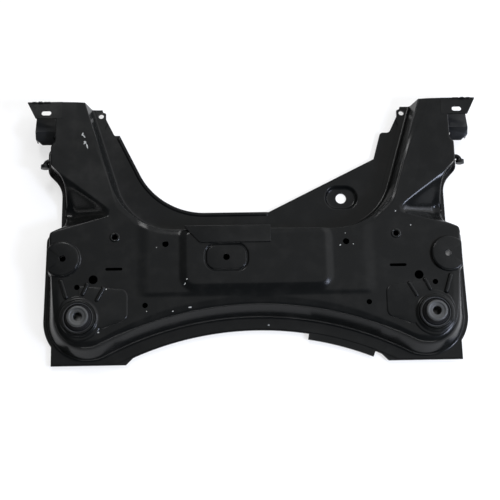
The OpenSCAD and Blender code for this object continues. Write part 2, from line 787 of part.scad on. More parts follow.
right_outline = concat(right_rim, [rim_tip]);
lower_outline = concat(
    right_outline,
    reverse(right_horn_path),
    reverse(bay_path),
    left_horn_path,
    reverse(mirrored([for (i = [1:len(right_outline) - 1]) right_outline[i]]))
);
function rear_edge(x, width) = rear_centre + (rear_r - width) * turned([0, 1], -asin(x / rear_r));
module locating_plate() {
    inner = rear_flange / 2;
    outer = rear_flange + flange_step + rear_step;
    xs = [for (k = [0:arc_steps]) mix(rear_step_from_x, rear_step_to_x, k / arc_steps)];
    polygon(concat([for (x = xs) rear_edge(x, inner)], [for (x = reverse(xs)) rear_edge(x, outer)]));
}
module tab_corner() {
    inner_y = tab_y + tab_bevel;
    polygon([[tab_inner_x - tab_bevel, inner_y], [tab_inner_x, tab_y], [corner_x, tab_y], [corner_x, inner_y]]);
}
lip_inner = [for (i = [0:len(bay_path) - 1])
    let (way = bay_path[min(i + 1, len(bay_path) - 1)] - bay_path[max(i - 1, 0)])
    bay_path[i] - unit(left_of(way)) * lip_w];
module dish(bottom, top, shrink) {
    reach = (dish_l - dish_w) / 2;
    wide = dish_w / 2 - shrink;
    hull() for (side = [-1, 1])
        translate([dish_x + side * reach, dish_y, bottom])
            cylinder(h = top - bottom, r1 = wide - dish_run, r2 = wide, $fn = 32);
}

module lower_shell() {
    color("#1a1b1d") difference() {
        union() {
            translate([0, 0, ground_gap]) linear_extrude(lower_t) {
                polygon(lower_outline);
                locating_plate();
                both_sides() tab_corner();
            }
            translate([0, 0, plate_top - cut]) linear_extrude(cut + lip_h)
                polygon(concat(bay_path, reverse(lip_inner)));
            dish(0, ground_gap + cut, 0);
        }
        dish(lower_t, plate_top + cut, lower_t);
        drill(dish_x, dish_y, torque_hole_d);
        drill(ring_x, ring_y, tool_hole_d);
        both_sides() {
            drill(bush_x, bush_y, housing_d + 2 * weld_gap);
            drill(pad_x, pad_y, arm_hole_d);
            drill(rack_x, rack_y, rack_hole_d);
            drill(front_nut_x, front_nut_y, tool_hole_d);
            drill(rear_nut_x, rear_nut_y, tool_hole_d);
            drill(horn_hole_x, horn_hole_y, horn_hole_d);
        }
    }
}

module front_patch() {
    lip_y = deck_front_y + patch_room;
    color("#202123") {
        translate([0, 0, plateau_top]) linear_extrude(patch_t) polygon([
            [patch_from_x, lip_y],
            [patch_to_x, lip_y],
            [patch_to_x, deck_front_y - patch_depth],
            [patch_from_x + patch_end_run, deck_front_y - patch_depth]
        ]);
        translate([patch_from_x, lip_y, plateau_top - patch_lip])
            cube([patch_to_x - patch_from_x, patch_t, patch_lip + patch_t]);
    }
}

// An arm's outer wall at a height, where the brackets are welded on
function arm_wall_x(z) = arm_outer_x - arm_lean * (z - flange_top) / (deck_top - flange_top);

module box_bracket(side) {
    low_z = box_fold_z - box_fall;
    from_x = arm_wall_x(low_z - box_t) + weld_gap;
    out_x = arm_outer_x + box_reach;
    cheek_z = low_z - box_cheek;
    leaves = [[box_front_y, low_z], [box_fold_y, box_fold_z], [box_rear_y, low_z]];
    color("#1f2022") on_side(side) difference() {
        union() {
            translate([from_x, 0, 0]) rotate([90, 0, 90]) linear_extrude(out_x - from_x)
                polygon(concat(leaves, [for (p = reverse(leaves)) p - [0, box_t]]));
            translate([out_x - box_t, 0, 0]) rotate([90, 0, 90]) linear_extrude(box_t)
                polygon(concat(leaves, [[box_rear_y + box_cut, cheek_z], [box_front_y, cheek_z]]));
        }
        translate([out_x, box_rear_y, 0]) rotate(45)
            cube([box_cut * sqrt(2), box_cut * sqrt(2), 3 * box_fold_z], center = true);
        drill(arm_outer_x + box_hole_out, (box_rear_y + box_fold_y) / 2, box_hole_d);
    }
}

module hook(side) {
    from_x = arm_wall_x(hook_z - hook_d / 2) + weld_gap;
    color("#2a2b2d") on_side(side) translate([from_x, hook_y, hook_z]) {
        rotate([0, 90, 0]) cylinder(h = hook_reach, d = hook_d);
        translate([hook_reach, -hook_bend_r, 0])
            rotate_extrude(angle = 90) translate([hook_bend_r, 0]) circle(d = hook_d);
        translate([hook_reach + hook_bend_r, -hook_bend_r, 0]) rotate([90, 0, 0]) cylinder(h = hook_head_t, d = hook_head_d);
    }
}

// Bush: a pressed-in outer sleeve, rubber and a steel core with a collar
sleeve_d = housing_d - 2 * housing_wall;
rubber_d = sleeve_d - 2 * sleeve_wall;
core_d = bush_bore_d + 2 * core_wall;
sleeve_top = housing_top - sleeve_back;
collar_under = collar_top - collar_t;
rubber_bottom = ground_gap;

module bush_housing(side) {
    color("#1d1e20") translate([side * bush_x, bush_y, 0]) tube(0, housing_top, housing_d, sleeve_d);
}
module bush_sleeve(side) {
    color("#3b3c3e") translate([side * bush_x, bush_y, 0]) tube(sleeve_back, sleeve_top, sleeve_d, rubber_d);
}
module bush_rubber(side) {
    inner = core_d / 2;
    outer = rubber_d / 2;
    middle = (inner + outer) / 2;
    color("#141516") translate([side * bush_x, bush_y, 0]) rotate_extrude() polygon([
        [inner, rubber_bottom],
        [middle, rubber_bottom + rubber_hollow],
        [outer, rubber_bottom],
        [outer, sleeve_top],
        [collar_d / 2, collar_under],
        [inner, collar_under]
    ]);
}
module bush_core(side) {
    color("#8b8d90") translate([side * bush_x, bush_y, 0]) rotate_extrude() polygon([
        [bush_bore_d / 2, 0],
        [core_d / 2, 0],
        [core_d / 2, collar_under],
        [collar_d / 2, collar_under],
        [collar_d / 2, collar_top - collar_bevel],
        [collar_d / 2 - collar_bevel, collar_top],
        [bush_bore_d / 2, collar_top]
    ]);
}

// Tubes that carry the bolts' pull between the two sheets
module rack_tube(side) {
    color("#505254") translate([side * rack_x, rack_y, 0])
        tube(plate_top, deck_under, rack_hole_d + 2 * rack_tube_wall, rack_hole_d);
}
module arm_tube(side) {
    color("#505254") translate([side * pad_x, pad_y, 0])
        tube(plate_top, pad_top - upper_t, arm_hole_d + 2 * arm_tube_wall, arm_hole_d);
}

// Hexagon nuts welded under the deck
module weld_nut(x, y, top, thread_d) {
    corners_d = (thread_d + nut_flat_extra) / cos(30);
    translate([x, y, top - nut_h]) difference() {
        cylinder(h = nut_h, d = corners_d, $fn = 6);
        translate([0, 0, -cut]) cylinder(h = nut_h + 2 * cut, d = thread_d);
    }
}
module front_weld_nuts() {
    color("#5a5c5e") both_sides() weld_nut(front_nut_x, front_nut_y, deck_under, nut_thread_d);
}
module rear_weld_nuts() {
    color("#5a5c5e") both_sides() weld_nut(rear_nut_x, rear_nut_y, deck_under, nut_thread_d);
}
module middle_weld_nut() {
    color("#5a5c5e") weld_nut(ring_x, ring_y, plateau_top - upper_t, middle_thread_d);
}

upper_shell();
lower_shell();
front_patch();
box_bracket(-1);  // left_box_bracket
box_bracket(1);  // right_box_bracket
hook(-1);  // left_hook
hook(1);  // right_hook
bush_housing(-1);  // left_bush_housing
bush_housing(1);  // right_bush_housing
bush_sleeve(-1);  // left_bush_sleeve
bush_sleeve(1);  // right_bush_sleeve
bush_rubber(-1);  // left_bush_rubber
bush_rubber(1);  // right_bush_rubber
bush_core(-1);  // left_bush_core
bush_core(1);  // right_bush_core
rack_tube(-1);  // left_rack_tube
rack_tube(1);  // right_rack_tube
arm_tube(-1);  // left_arm_tube
arm_tube(1);  // right_arm_tube
front_weld_nuts();
rear_weld_nuts();
middle_weld_nut();
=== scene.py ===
"""Dressed model of a car's front subframe: two black coated pressings, bushes, brackets and nuts.

The pressed sheets are worked out in millimetres as numpy grids from the same sizes as the solids, and
put into meshes in metres. X is to the right, Y to the front and Z up, with the ground at zero.
"""
import logging
import math
from dataclasses import dataclass, field
from enum import Enum

import bmesh
import bpy
import numpy as np
from mathutils import Matrix, Vector


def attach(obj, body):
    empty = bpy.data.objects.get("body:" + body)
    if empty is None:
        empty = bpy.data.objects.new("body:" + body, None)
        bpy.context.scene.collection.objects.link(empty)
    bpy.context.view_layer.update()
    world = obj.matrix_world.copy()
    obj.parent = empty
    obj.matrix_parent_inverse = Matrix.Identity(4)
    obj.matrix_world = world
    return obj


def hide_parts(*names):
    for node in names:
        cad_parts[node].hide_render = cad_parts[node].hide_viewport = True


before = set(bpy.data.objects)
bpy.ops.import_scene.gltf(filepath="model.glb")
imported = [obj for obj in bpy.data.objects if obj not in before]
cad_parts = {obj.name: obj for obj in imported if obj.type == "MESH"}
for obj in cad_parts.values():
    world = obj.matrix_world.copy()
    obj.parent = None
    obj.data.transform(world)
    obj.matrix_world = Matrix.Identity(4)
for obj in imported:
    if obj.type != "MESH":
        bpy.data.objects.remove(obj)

log = logging.getLogger("subframe")
Array = np.ndarray
Socket = bpy.types.NodeSocket
Tree = bpy.types.NodeTree
MM = 0.001
BODY = "root"
SHADER = "Principled BSDF"


class Side(Enum):
    """A side of the frame, with the sign of its X."""

    LEFT = -1
    RIGHT = 1


class Slot(Enum):
    """The record's material slots that new pieces take."""

    SHEET = "coated_sheet"
    RUBBER = "rubber"
    STEEL = "bare_steel"


def unit(v: Array) -> Array:
    """Each vector divided by its length."""
    return v / np.linalg.norm(v, axis=-1, keepdims=True)


def left_of(v: Array) -> Array:
    """Each plan vector turned a quarter to the left."""
    return np.stack([-v[..., 1], v[..., 0]], axis=-1)


def smooth(t: Array) -> Array:
    """The smooth step 3t^2 - 2t^3 of t held between 0 and 1."""
    c = np.clip(t, 0.0, 1.0)
    return c * c * (3.0 - 2.0 * c)


def ramp(t: Array, soft: float = 0.3) -> Array:
    """A straight rise from 0 to 1 whose two ends are eased as parabolas.

    Args:
        t: Place along the rise; values outside 0 to 1 are held.
        soft: Share of the rise that each eased end takes.

    Returns:
        The height at each place.
    """
    c = np.clip(t, 0.0, 1.0)
    slope = 1.0 / (1.0 - soft)
    low = slope * c * c / (2.0 * soft)
    high = 1.0 - slope * (1.0 - c) ** 2 / (2.0 * soft)
    return np.where(c < soft, low, np.where(c > 1.0 - soft, high, slope * (c - soft / 2.0)))


def rounded(path: list[tuple[float, float, float]], steps: int = 24) -> Array:
    """A plan path with its corners replaced by arcs of their radius.

    Args:
        path: Corners as x, y and radius, in mm.
        steps: Steps in each arc.

    Returns:
        Points of the path, one row each.
    """
    points = [np.array([path[0][:2]])]
    for before, corner, after in zip(path, path[1:], path[2:]):
        tip = np.array(corner[:2])
        back = unit(np.array(before[:2]) - tip)
        ahead = unit(np.array(after[:2]) - tip)
        if corner[2] == 0:
            points.append(tip[None])
            continue
        half = math.acos(float(back @ ahead)) / 2
        centre = tip + unit(back + ahead) * corner[2] / math.sin(half)
        start = tip + back * corner[2] / math.tan(half) - centre
        side = np.sign(-back[0] * ahead[1] + back[1] * ahead[0])
        a = side * (math.pi - 2 * half) * np.linspace(0, 1, steps + 1)
        (x, y), cos, sin = start, np.cos(a), np.sin(a)
        points.append(centre + np.stack([x * cos - y * sin, x * sin + y * cos], -1))
    points.append(np.array([path[-1][:2]]))
    return np.concatenate(points)


@dataclass
class Polyline:
    """A row of plan points that can be read at any length along it."""

    points: Array
    runs: Array = field(init=False)

    def __post_init__(self) -> None:
        """Works out the length along the row up to each point."""
        gaps = np.linalg.norm(np.diff(self.points, axis=0), axis=1)
        self.runs = np.concatenate([[0.0], np.cumsum(gaps)])

    @property
    def end(self) -> float:
        """Whole length of the row."""
        return float(self.runs[-1])

    def at(self, s: Array) -> Array:
        """Points at the lengths s."""
        return np.stack([np.interp(s, self.runs, self.points[:, k]) for k in (0, 1)], axis=-1)

    def left(self, s: Array, reach: float = 1.5) -> Array:
        """Unit vectors to the left of travel at the lengths s, from points a reach before and after."""
        way = self.at(np.minimum(s + reach, self.end)) - self.at(np.maximum(s - reach, 0.0))
        return unit(left_of(way))


@dataclass(frozen=True)
class Sizes:
    """Sizes in mm that the pressings share with the solids."""

    sheet_t: float = 3
    ground_gap: float = 6
    box_h: float = 52
    bend: float = 5
    deck_front_y: float = -8
    rear_foot_y: float = -179
    corner_x: float = 340
    corner_y: float = -181
    corner_r: float = 81
    rear_lean: float = 17
    rear_flange: float = 24
    flange_step: float = 3
    tab_x: float = 414
    tab_y: float = -272
    tip_y: float = 271.8
    tip_inner_x: float = 347.7
    arm_angle: float = 17
    arm_bend_r: float = 140
    arm_outer_x: float = 417
    arm_outer_y: float = 136
    arm_step_y: float = 176
    arm_step_in: float = 8
    arm_step_run: float = 10
    arm_lean: float = 1
    inner_lean: float = 11
    inner_flange: float = 8
    horn_flange: float = 15
    horn_flange_l: float = 34
    side_flange: float = 6.5
    shoulder_y: float = -9
    notch_x: float = 388
    notch_y: float = 5
    waist_x: float = 387
    waist_y: float = 104
    waist_r: float = 60
    flank_r: float = 12
    arm_step_r: float = 6
    bush_x: float = 354
    bush_y: float = -186
    housing_d: float = 66
    dish_x: float = 182
    dish_y: float = 72

    @property
    def arm_front_x(self) -> float:
        """Foot of an arm's outer wall ahead of its step."""
        return self.arm_outer_x - self.arm_step_in

    @property
    def bush_hole_r(self) -> float:
        """Radius of the sheets' hole round a bush housing, with a fitting gap."""
        return self.housing_d / 2 + 0.3

    @property
    def plate_top(self) -> float:
        """Top face of the lower pressing."""
        return self.ground_gap + self.sheet_t

    @property
    def flange_top(self) -> float:
        """Top face of the upper pressing's flanges."""
        return self.plate_top + self.sheet_t

    @property
    def deck_top(self) -> float:
        """Top face of the deck."""
        return self.plate_top + self.box_h


SIZES = Sizes()
ARC_STEPS = 40
PLATEAU_X = 137.0
PLATEAU_RUN = 20.0
RACK_HOLE = (182.0, -37.0, 6.5)
FRONT_NUT = (284.0, -21.0)
REAR_NUT = (223.0, -162.0)
PAD = (387.0, -65.0)
PAD_HOLE_R = 6.25
HORN_HOLE = (318.0, 258.0, 5.5)
RING = (-60.0, -67.0)


@dataclass
class PlanLines:
    """Plan lines of the right half: the foot of the outer wall and the deck's edge round the bay."""

    z: Sizes = SIZES
    foot: Polyline = field(init=False)
    bay: Polyline = field(init=False)
    pairs: Array = field(init=False)
    corner: Array = field(init=False)
    rear_r: float = field(init=False)
    rear_centre: Array = field(init=False)
    run_corner: float = field(init=False)
    run_side: float = field(init=False)
    run_shoulder: float = field(init=False)
    run_notch: float = field(init=False)
    run_arm: float = field(init=False)
    run_step: float = field(init=False)
    run_front: float = field(init=False)

    def __post_init__(self) -> None:
        """Joins the rear arc, the corner arc and the side's rounded corners, and the bay's edge."""
        z = self.z
        drop = z.corner_y - z.rear_foot_y
        self.rear_r = (z.corner_x**2 + drop**2 - z.corner_r**2) / (2 * (z.corner_r - drop))
        self.rear_centre = np.array([0.0, z.rear_foot_y - self.rear_r])
        self.corner = np.array([z.corner_x, z.corner_y])
        turn = math.atan(z.corner_x / (drop + self.rear_r))
        shoulder = np.array([z.arm_outer_x, z.shoulder_y])
        notch = np.array([z.notch_x, z.notch_y])
        reach = shoulder - self.corner
        side = math.atan2(reach[1], reach[0]) - math.acos(z.corner_r / np.linalg.norm(reach))
        a = np.linspace(0, turn, ARC_STEPS + 1)
        rear = self.rear_centre + self.rear_r * np.stack([np.sin(a), np.cos(a)], -1)
        a = np.linspace(side - (math.pi / 2 + turn + side), side, ARC_STEPS + 1)[1:]
        corner = self.corner + z.corner_r * np.stack([np.cos(a), np.sin(a)], -1)
        flank = rounded([
            (*corner[-1], 0), (*shoulder, z.flank_r), (*notch, z.flank_r), (z.waist_x, z.waist_y, z.waist_r),
            (z.arm_outer_x, z.arm_outer_y, z.flank_r), (z.arm_outer_x, z.arm_step_y, z.arm_step_r),
            (z.arm_front_x, z.arm_step_y + z.arm_step_run, z.arm_step_r), (z.arm_front_x, z.tip_y, 0),
        ])
        self.foot = Polyline(np.concatenate([rear, corner, flank[1:]]))
        self.run_corner = float(self.foot.runs[ARC_STEPS])
        self.run_side = float(self.foot.runs[2 * ARC_STEPS])
        self.run_shoulder = self.run_side + float(np.linalg.norm(shoulder - corner[-1]))
        self.run_notch = self.run_shoulder + float(np.linalg.norm(notch - shoulder))
        self.run_front = self.foot.end - (z.tip_y - z.arm_step_y - z.arm_step_run)
        self.run_step = self.run_front - math.hypot(z.arm_step_in, z.arm_step_run)
        self.run_arm = self.run_step - (z.arm_step_y - z.arm_outer_y)
        knee_x = z.tip_inner_x - (z.tip_y - z.deck_front_y) * math.tan(math.radians(z.arm_angle))
        path = [(0, z.deck_front_y, 0), (knee_x, z.deck_front_y, z.arm_bend_r), (z.tip_inner_x, z.tip_y, 0)]
        self.bay = Polyline(rounded(path, 64))
        knee_turn = math.radians(90 - z.arm_angle)
        straight = knee_x - z.arm_bend_r * math.tan(knee_turn / 2)
        arc = z.arm_bend_r * knee_turn
        # Lengths along the foot and along the bay's edge that one section joins
        plateau = (PLATEAU_X, PLATEAU_X + PLATEAU_RUN)
        self.pairs = np.array([
            (0, 0), *((self.rear_run(x), x) for x in plateau), (self.run_corner, straight + 0.2 * arc),
            (self.run_side, straight + 0.42 * arc),
            (self.run_shoulder, straight + 0.55 * arc), (self.run_arm, straight + 0.85 * arc),
            (self.foot.end, self.bay.end),
        ])

    def rear_run(self, x: float) -> float:
        """Length along the rear arc up to x."""
        return self.rear_r * math.asin(x / self.rear_r)

    def lean(self, s: Array) -> Array:
        """Lean of the outer wall from foot to top at the lengths s."""
        runs = [0, self.run_side, self.run_shoulder, self.foot.end]
        return np.interp(s, runs, [self.z.rear_lean, self.z.rear_lean, self.z.arm_lean, self.z.arm_lean])

    def rim(self, s: Array, step: float) -> Array:
        """Edge of a weld flange: parallel to the foot, square at the rear corner tabs.

        Args:
            s: Lengths along the foot.
            step: How far the edge lies past the upper pressing's own.

        Returns:
            Plan points of the edge.
        """
        z = self.z
        at = self.foot.at(s)
        inward = self.foot.left(s)
        back = z.flange_step - step
        rear = at - (z.rear_flange + step) * inward
        rear[:, 1] = np.maximum(rear[:, 1], z.tab_y + back)
        way = unit(at - self.corner)
        safe_x = np.where(way[:, 0] > 1e-6, way[:, 0], 1e-6)
        safe_y = np.where(way[:, 1] < -1e-6, -way[:, 1], 1e-6)
        square = np.minimum((z.tab_x - back - z.corner_x) / safe_x, (z.corner_y - z.tab_y - back) / safe_y)
        reach = np.maximum(z.corner_r + z.side_flange + step, square)
        corner = self.corner + way * reach[:, None]
        flank = at - (z.side_flange + step) * inward
        pick = s[:, None]
        return np.where(pick < self.run_corner, rear, np.where(pick <= self.run_side, corner, flank))


LINES = PlanLines()


@dataclass
class MeshParts:
    """Vertices and faces that are gathered before they go into one mesh."""

    points: list[Array] = field(default_factory=list)
    faces: list[tuple[int, ...]] = field(default_factory=list)
    count: int = 0

    def add(self, points: Array, faces: Array) -> None:
        """Adds points in mm and the faces that index them.

        Args:
            points: Points, one row each.
            faces: Rows of indices into the points.
        """
        flat = points.reshape(-1, 3)
        self.points.append(flat)
        self.faces.extend(map(tuple, (np.asarray(faces) + self.count).tolist()))
        self.count += len(flat)

    def add_mirrored(self, points: Array, faces: Array) -> None:
        """Adds a shape and its mirror image across the middle, with that one's faces turned round."""
        self.add(points, faces)
        self.add(points.reshape(-1, 3) * np.array([-1, 1, 1]), np.asarray(faces)[:, ::-1])

    def mesh(self, name: str) -> bpy.types.Mesh:
        """The gathered shape as a mesh in metres."""
        mesh = bpy.data.meshes.new(name)
        mesh.from_pydata((np.concatenate(self.points) * MM).tolist(), [], self.faces)
        mesh.validate()
        return mesh


def grid_faces(rows: int, cols: int, closed: bool = False) -> Array:
    """Quads of a grid of points in row order.

    Args:
        rows: Rows of the grid.
        cols: Points in each row.
        closed: True if each row's end joins its start.

    Returns:
        Four indices for each quad.
    """
    i, j = np.meshgrid(np.arange(rows - 1), np.arange(cols if closed else cols - 1), indexing="ij")
    a = i * cols + j
    b = i * cols + (j + 1) % cols
    return np.stack([a, b, b + cols, a + cols], -1).reshape(-1, 4)


def lathe(profile: list[tuple[float, float]], centre: tuple[float, float],
          segments: int = 64) -> tuple[Array, Array]:
    """A profile of radius and height turned about an upright axis: x = r cos a, y = r sin a.

    Args:
        profile: Radius and height of each ring, in mm.
        centre: Plan place of the axis.
        segments: Points in each ring.

    Returns:
        Points and quads.
    """
    a = np.linspace(0, 2 * np.pi, segments, endpoint=False)
    r, h = np.array(profile, float).T
    x = centre[0] + r[:, None] * np.cos(a)
    y = centre[1] + r[:, None] * np.sin(a)
    points = np.stack([x, y, np.broadcast_to(h[:, None], x.shape)], -1)
    return points, grid_faces(len(profile), segments, closed=True)


def oval_rings(profile: list[tuple[float, float]], core: tuple[float, float], radius: float,
               centre: tuple[float, float], turn: float = 0.0, segments: int = 96) -> tuple[Array, Array]:
    """Rings parallel to a rounded rectangle: a core of half sizes, grown by the radius and each offset.

    Args:
        profile: Offset from the outline and height of each ring, in mm.
        core: Half length and half width of the core.
        radius: Corner radius of the outline.
        centre: Plan place of the middle.
        turn: Direction of the length, in radians.
        segments: Points in each ring, a multiple of four.

    Returns:
        Points and quads.
    """
    a = (np.arange(segments) + 0.5) * 2 * np.pi / segments
    offset, h = np.array(profile, float).T
    reach = np.maximum(radius + offset, 0.01)[:, None]
    u = np.sign(np.cos(a)) * core[0] + reach * np.cos(a)
    v = np.sign(np.sin(a)) * core[1] + reach * np.sin(a)
    x = centre[0] + u * math.cos(turn) - v * math.sin(turn)
    y = centre[1] + u * math.sin(turn) + v * math.cos(turn)
    points = np.stack([x, y, np.broadcast_to(h[:, None], x.shape)], -1)
    return points, grid_faces(len(profile), segments, closed=True)


def prism(outline: Array, bottom: float, top: float) -> tuple[Array, list[tuple[int, ...]]]:
    """A plan outline, counterclockwise, carried straight up between two heights.

    Args:
        outline: Plan points of the outline.
        bottom: Lower height.
        top: Upper height.

    Returns:
        Points, and the side quads and two end faces.
    """
    n = len(outline)
    low = np.column_stack([outline, np.full(n, bottom)])
    high = np.column_stack([outline, np.full(n, top)])
    i = np.arange(n)
    j = (i + 1) % n
    faces = [tuple(row) for row in np.stack([i, j, j + n, i + n], -1).tolist()]
    faces.append(tuple(range(n, 2 * n)))
    faces.append(tuple(range(n - 1, -1, -1)))
    return np.concatenate([low, high]), faces


def add_prism(parts: MeshParts, outline: Array, bottom: float, top: float, mirrored: bool = False) -> None:
    """Puts a prism, and its mirror image if asked, into gathered parts."""
    points, faces = prism(outline, bottom, top)
    for sign in (1, -1) if mirrored else (1,):
        parts.points.append(points * np.array([sign, 1, 1]))
        parts.faces.extend(tuple(k + parts.count for k in face[::sign]) for face in faces)
        parts.count += len(points)


def circle(x: float, y: float, r: float, steps: int = 40) -> Array:
    """Points of a plan circle, counterclockwise."""
    a = np.linspace(0, 2 * np.pi, steps, endpoint=False)
    return np.stack([x + r * np.cos(a), y + r * np.sin(a)], -1)


def oval(x: float, y: float, core: tuple[float, float], r: float, steps: int = 96) -> Array:
    """Points of a plan rounded rectangle, counterclockwise."""
    points, _ = oval_rings([(0, 0)], core, r, (x, y), segments=steps)
    return points[0, :, :2]


def cut_away(mesh: bpy.types.Mesh, cutters: MeshParts) -> bpy.types.Mesh:
    """Cuts the gathered prisms out of a closed mesh.

    Args:
        mesh: Closed mesh to cut.
        cutters: Prisms that are clear of each other.

    Returns:
        The cut mesh.
    """
    scene = bpy.context.scene
    body = bpy.data.objects.new("body", mesh)
    tool = bpy.data.objects.new("tool", cutters.mesh("tool"))
    for item in (body, tool):
        scene.collection.objects.link(item)
    modifier = body.modifiers.new("cut", "BOOLEAN")
    modifier.operation = "DIFFERENCE"
    modifier.solver = "EXACT"
    modifier.object = tool
    done = bpy.data.meshes.new_from_object(body.evaluated_get(bpy.context.evaluated_depsgraph_get()))
    for item in (body, tool):
        data = item.data
        bpy.data.objects.remove(item)
        bpy.data.meshes.remove(data)
    return done


def join(name: str, meshes: list[bpy.types.Mesh], sharp_deg: float = 38.0) -> bpy.types.Object:
    """Joins meshes into one shown object with smooth faces and sharp edges above an angle.

    Args:
        name: Name of the piece.
        meshes: Meshes to join; they are used up.
        sharp_deg: Angle above which an edge stays sharp.

    Returns:
        The object, linked to the scene.
    """
    work = bmesh.new()
    for mesh in meshes:
        work.from_mesh(mesh)
    joined = bpy.data.meshes.new(name)
    work.to_mesh(joined)
    work.free()
    for mesh in meshes:
        bpy.data.meshes.remove(mesh)
    joined.shade_smooth()
    joined.set_sharp_from_angle(angle=math.radians(sharp_deg))
    item = bpy.data.objects.new(name, joined)
    bpy.context.scene.collection.objects.link(item)
    return item


def soften(item: bpy.types.Object, width: float, segments: int = 3, angle: float = 35.0) -> None:
    """Rounds the edges of a piece and keeps its flat faces flat.

    Args:
        item: Piece to round.
        width: Width of the rounding in mm.
        segments: Steps of the rounding.
        angle: Angle in degrees above which an edge is rounded.
    """
    bevel = item.modifiers.new("rounding", "BEVEL")
    bevel.width = width * MM
    bevel.segments = segments
    bevel.limit_method = "ANGLE"
    bevel.angle_limit = math.radians(angle)
    bevel.harden_normals = True
    bevel.use_clamp_overlap = True


def merged_copy(node: str, name: str) -> bpy.types.Object:
    """A shown copy of a CAD node with its doubles merged and its flat faces whole."""
    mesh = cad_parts[node].data.copy()
    mesh.name = name
    mesh.materials.clear()
    work = bmesh.new()
    work.from_mesh(mesh)
    bmesh.ops.remove_doubles(work, verts=work.verts, dist=1e-6)
    bmesh.ops.dissolve_limit(work, angle_limit=math.radians(1), verts=work.verts, edges=work.edges)
    work.to_mesh(mesh)
    work.free()
    mesh.shade_smooth()
    item = bpy.data.objects.new(name, mesh)
    bpy.context.scene.collection.objects.link(item)
    return item


def linear(hex_colour: str) -> tuple[float, float, float, float]:
    """An sRGB hex colour as linear red, green, blue and alpha."""
    parts = [int(hex_colour[k:k + 2], 16) / 255 for k in (1, 3, 5)]
    return (*(c / 12.92 if c <= 0.04045 else ((c + 0.055) / 1.055) ** 2.4 for c in parts), 1.0)


def set_inputs(tree: Tree, node: bpy.types.Node, inputs: dict) -> None:
    """Sets or links a node's inputs.

    Args:
        tree: Tree that holds the node.
        node: The node.
        inputs: Socket name or number to a value, or to an output socket to link.
    """
    for key, value in inputs.items():
        if isinstance(value, Socket):
            tree.links.new(value, node.inputs[key])
        else:
            node.inputs[key].default_value = value


def add_node(tree: Tree, kind: str, inputs: dict | None = None, **settings: object) -> bpy.types.Node:
    """Adds a node with its settings, and sets or links its inputs.

    Args:
        tree: Tree that takes the node.
        kind: Blender's name of the node.
        inputs: Socket name or number to a value, or to an output socket to link.
        **settings: Attributes of the node.

    Returns:
        The new node.
    """
    node = tree.nodes.new(kind)
    for key, value in settings.items():
        setattr(node, key, value)
    set_inputs(tree, node, inputs or {})
    return node


def noise(tree: Tree, place: Socket, size_mm: float, detail: float = 2.0, roughness: float = 0.5) -> Socket:
    """A noise whose grains are a size in mm."""
    return add_node(tree, "ShaderNodeTexNoise", {
        "Vector": place, "Scale": 1 / (size_mm * MM), "Detail": detail, "Roughness": roughness}).outputs["Fac"]


def spread(tree: Tree, value: Socket, span: tuple[float, float], to: tuple[float, float] = (0.0, 1.0),
           **settings: object) -> Socket:
    """A value's span carried over to another span, and held at its ends."""
    return add_node(tree, "ShaderNodeMapRange", {
        "Value": value, "From Min": span[0], "From Max": span[1], "To Min": to[0], "To Max": to[1],
    }, **settings).outputs["Result"]


def blend(tree: Tree, share: Socket, first: str | Socket, second: str | Socket) -> Socket:
    """Two colours, given as sRGB hex or as sockets, mixed by a share."""
    a, b = (linear(c) if isinstance(c, str) else c for c in (first, second))
    node = add_node(tree, "ShaderNodeMix", {"Factor": share, "A": a, "B": b}, data_type="RGBA")
    return node.outputs["Result"]


def maths(tree: Tree, operation: str, a: Socket, b: Socket | float) -> Socket:
    """Two values put together by a maths node."""
    return add_node(tree, "ShaderNodeMath", {0: a, 1: b}, operation=operation).outputs[0]


def bump(tree: Tree, height: Socket, strength: float, depth_mm: float, under: Socket | None = None) -> Socket:
    """A normal tilted by heights of a depth in mm, on top of another normal if there is one."""
    inputs = {"Height": height, "Strength": strength, "Distance": depth_mm * MM}
    if under is not None:
        inputs["Normal"] = under
    return add_node(tree, "ShaderNodeBump", inputs).outputs["Normal"]


def new_finish(name: str) -> tuple[bpy.types.Material, Tree, Socket]:
    """A new material, its tree and its object coordinates."""
    material = bpy.data.materials.new(name)
    material.use_nodes = True
    tree = material.node_tree
    return material, tree, add_node(tree, "ShaderNodeTexCoord").outputs["Object"]


@dataclass(frozen=True)
class Chip:
    """A bare mark in the coat: place and half sizes in mm, and turn in degrees."""

    x: float
    y: float
    z: float
    long: float
    wide: float
    turn: float = 0.0


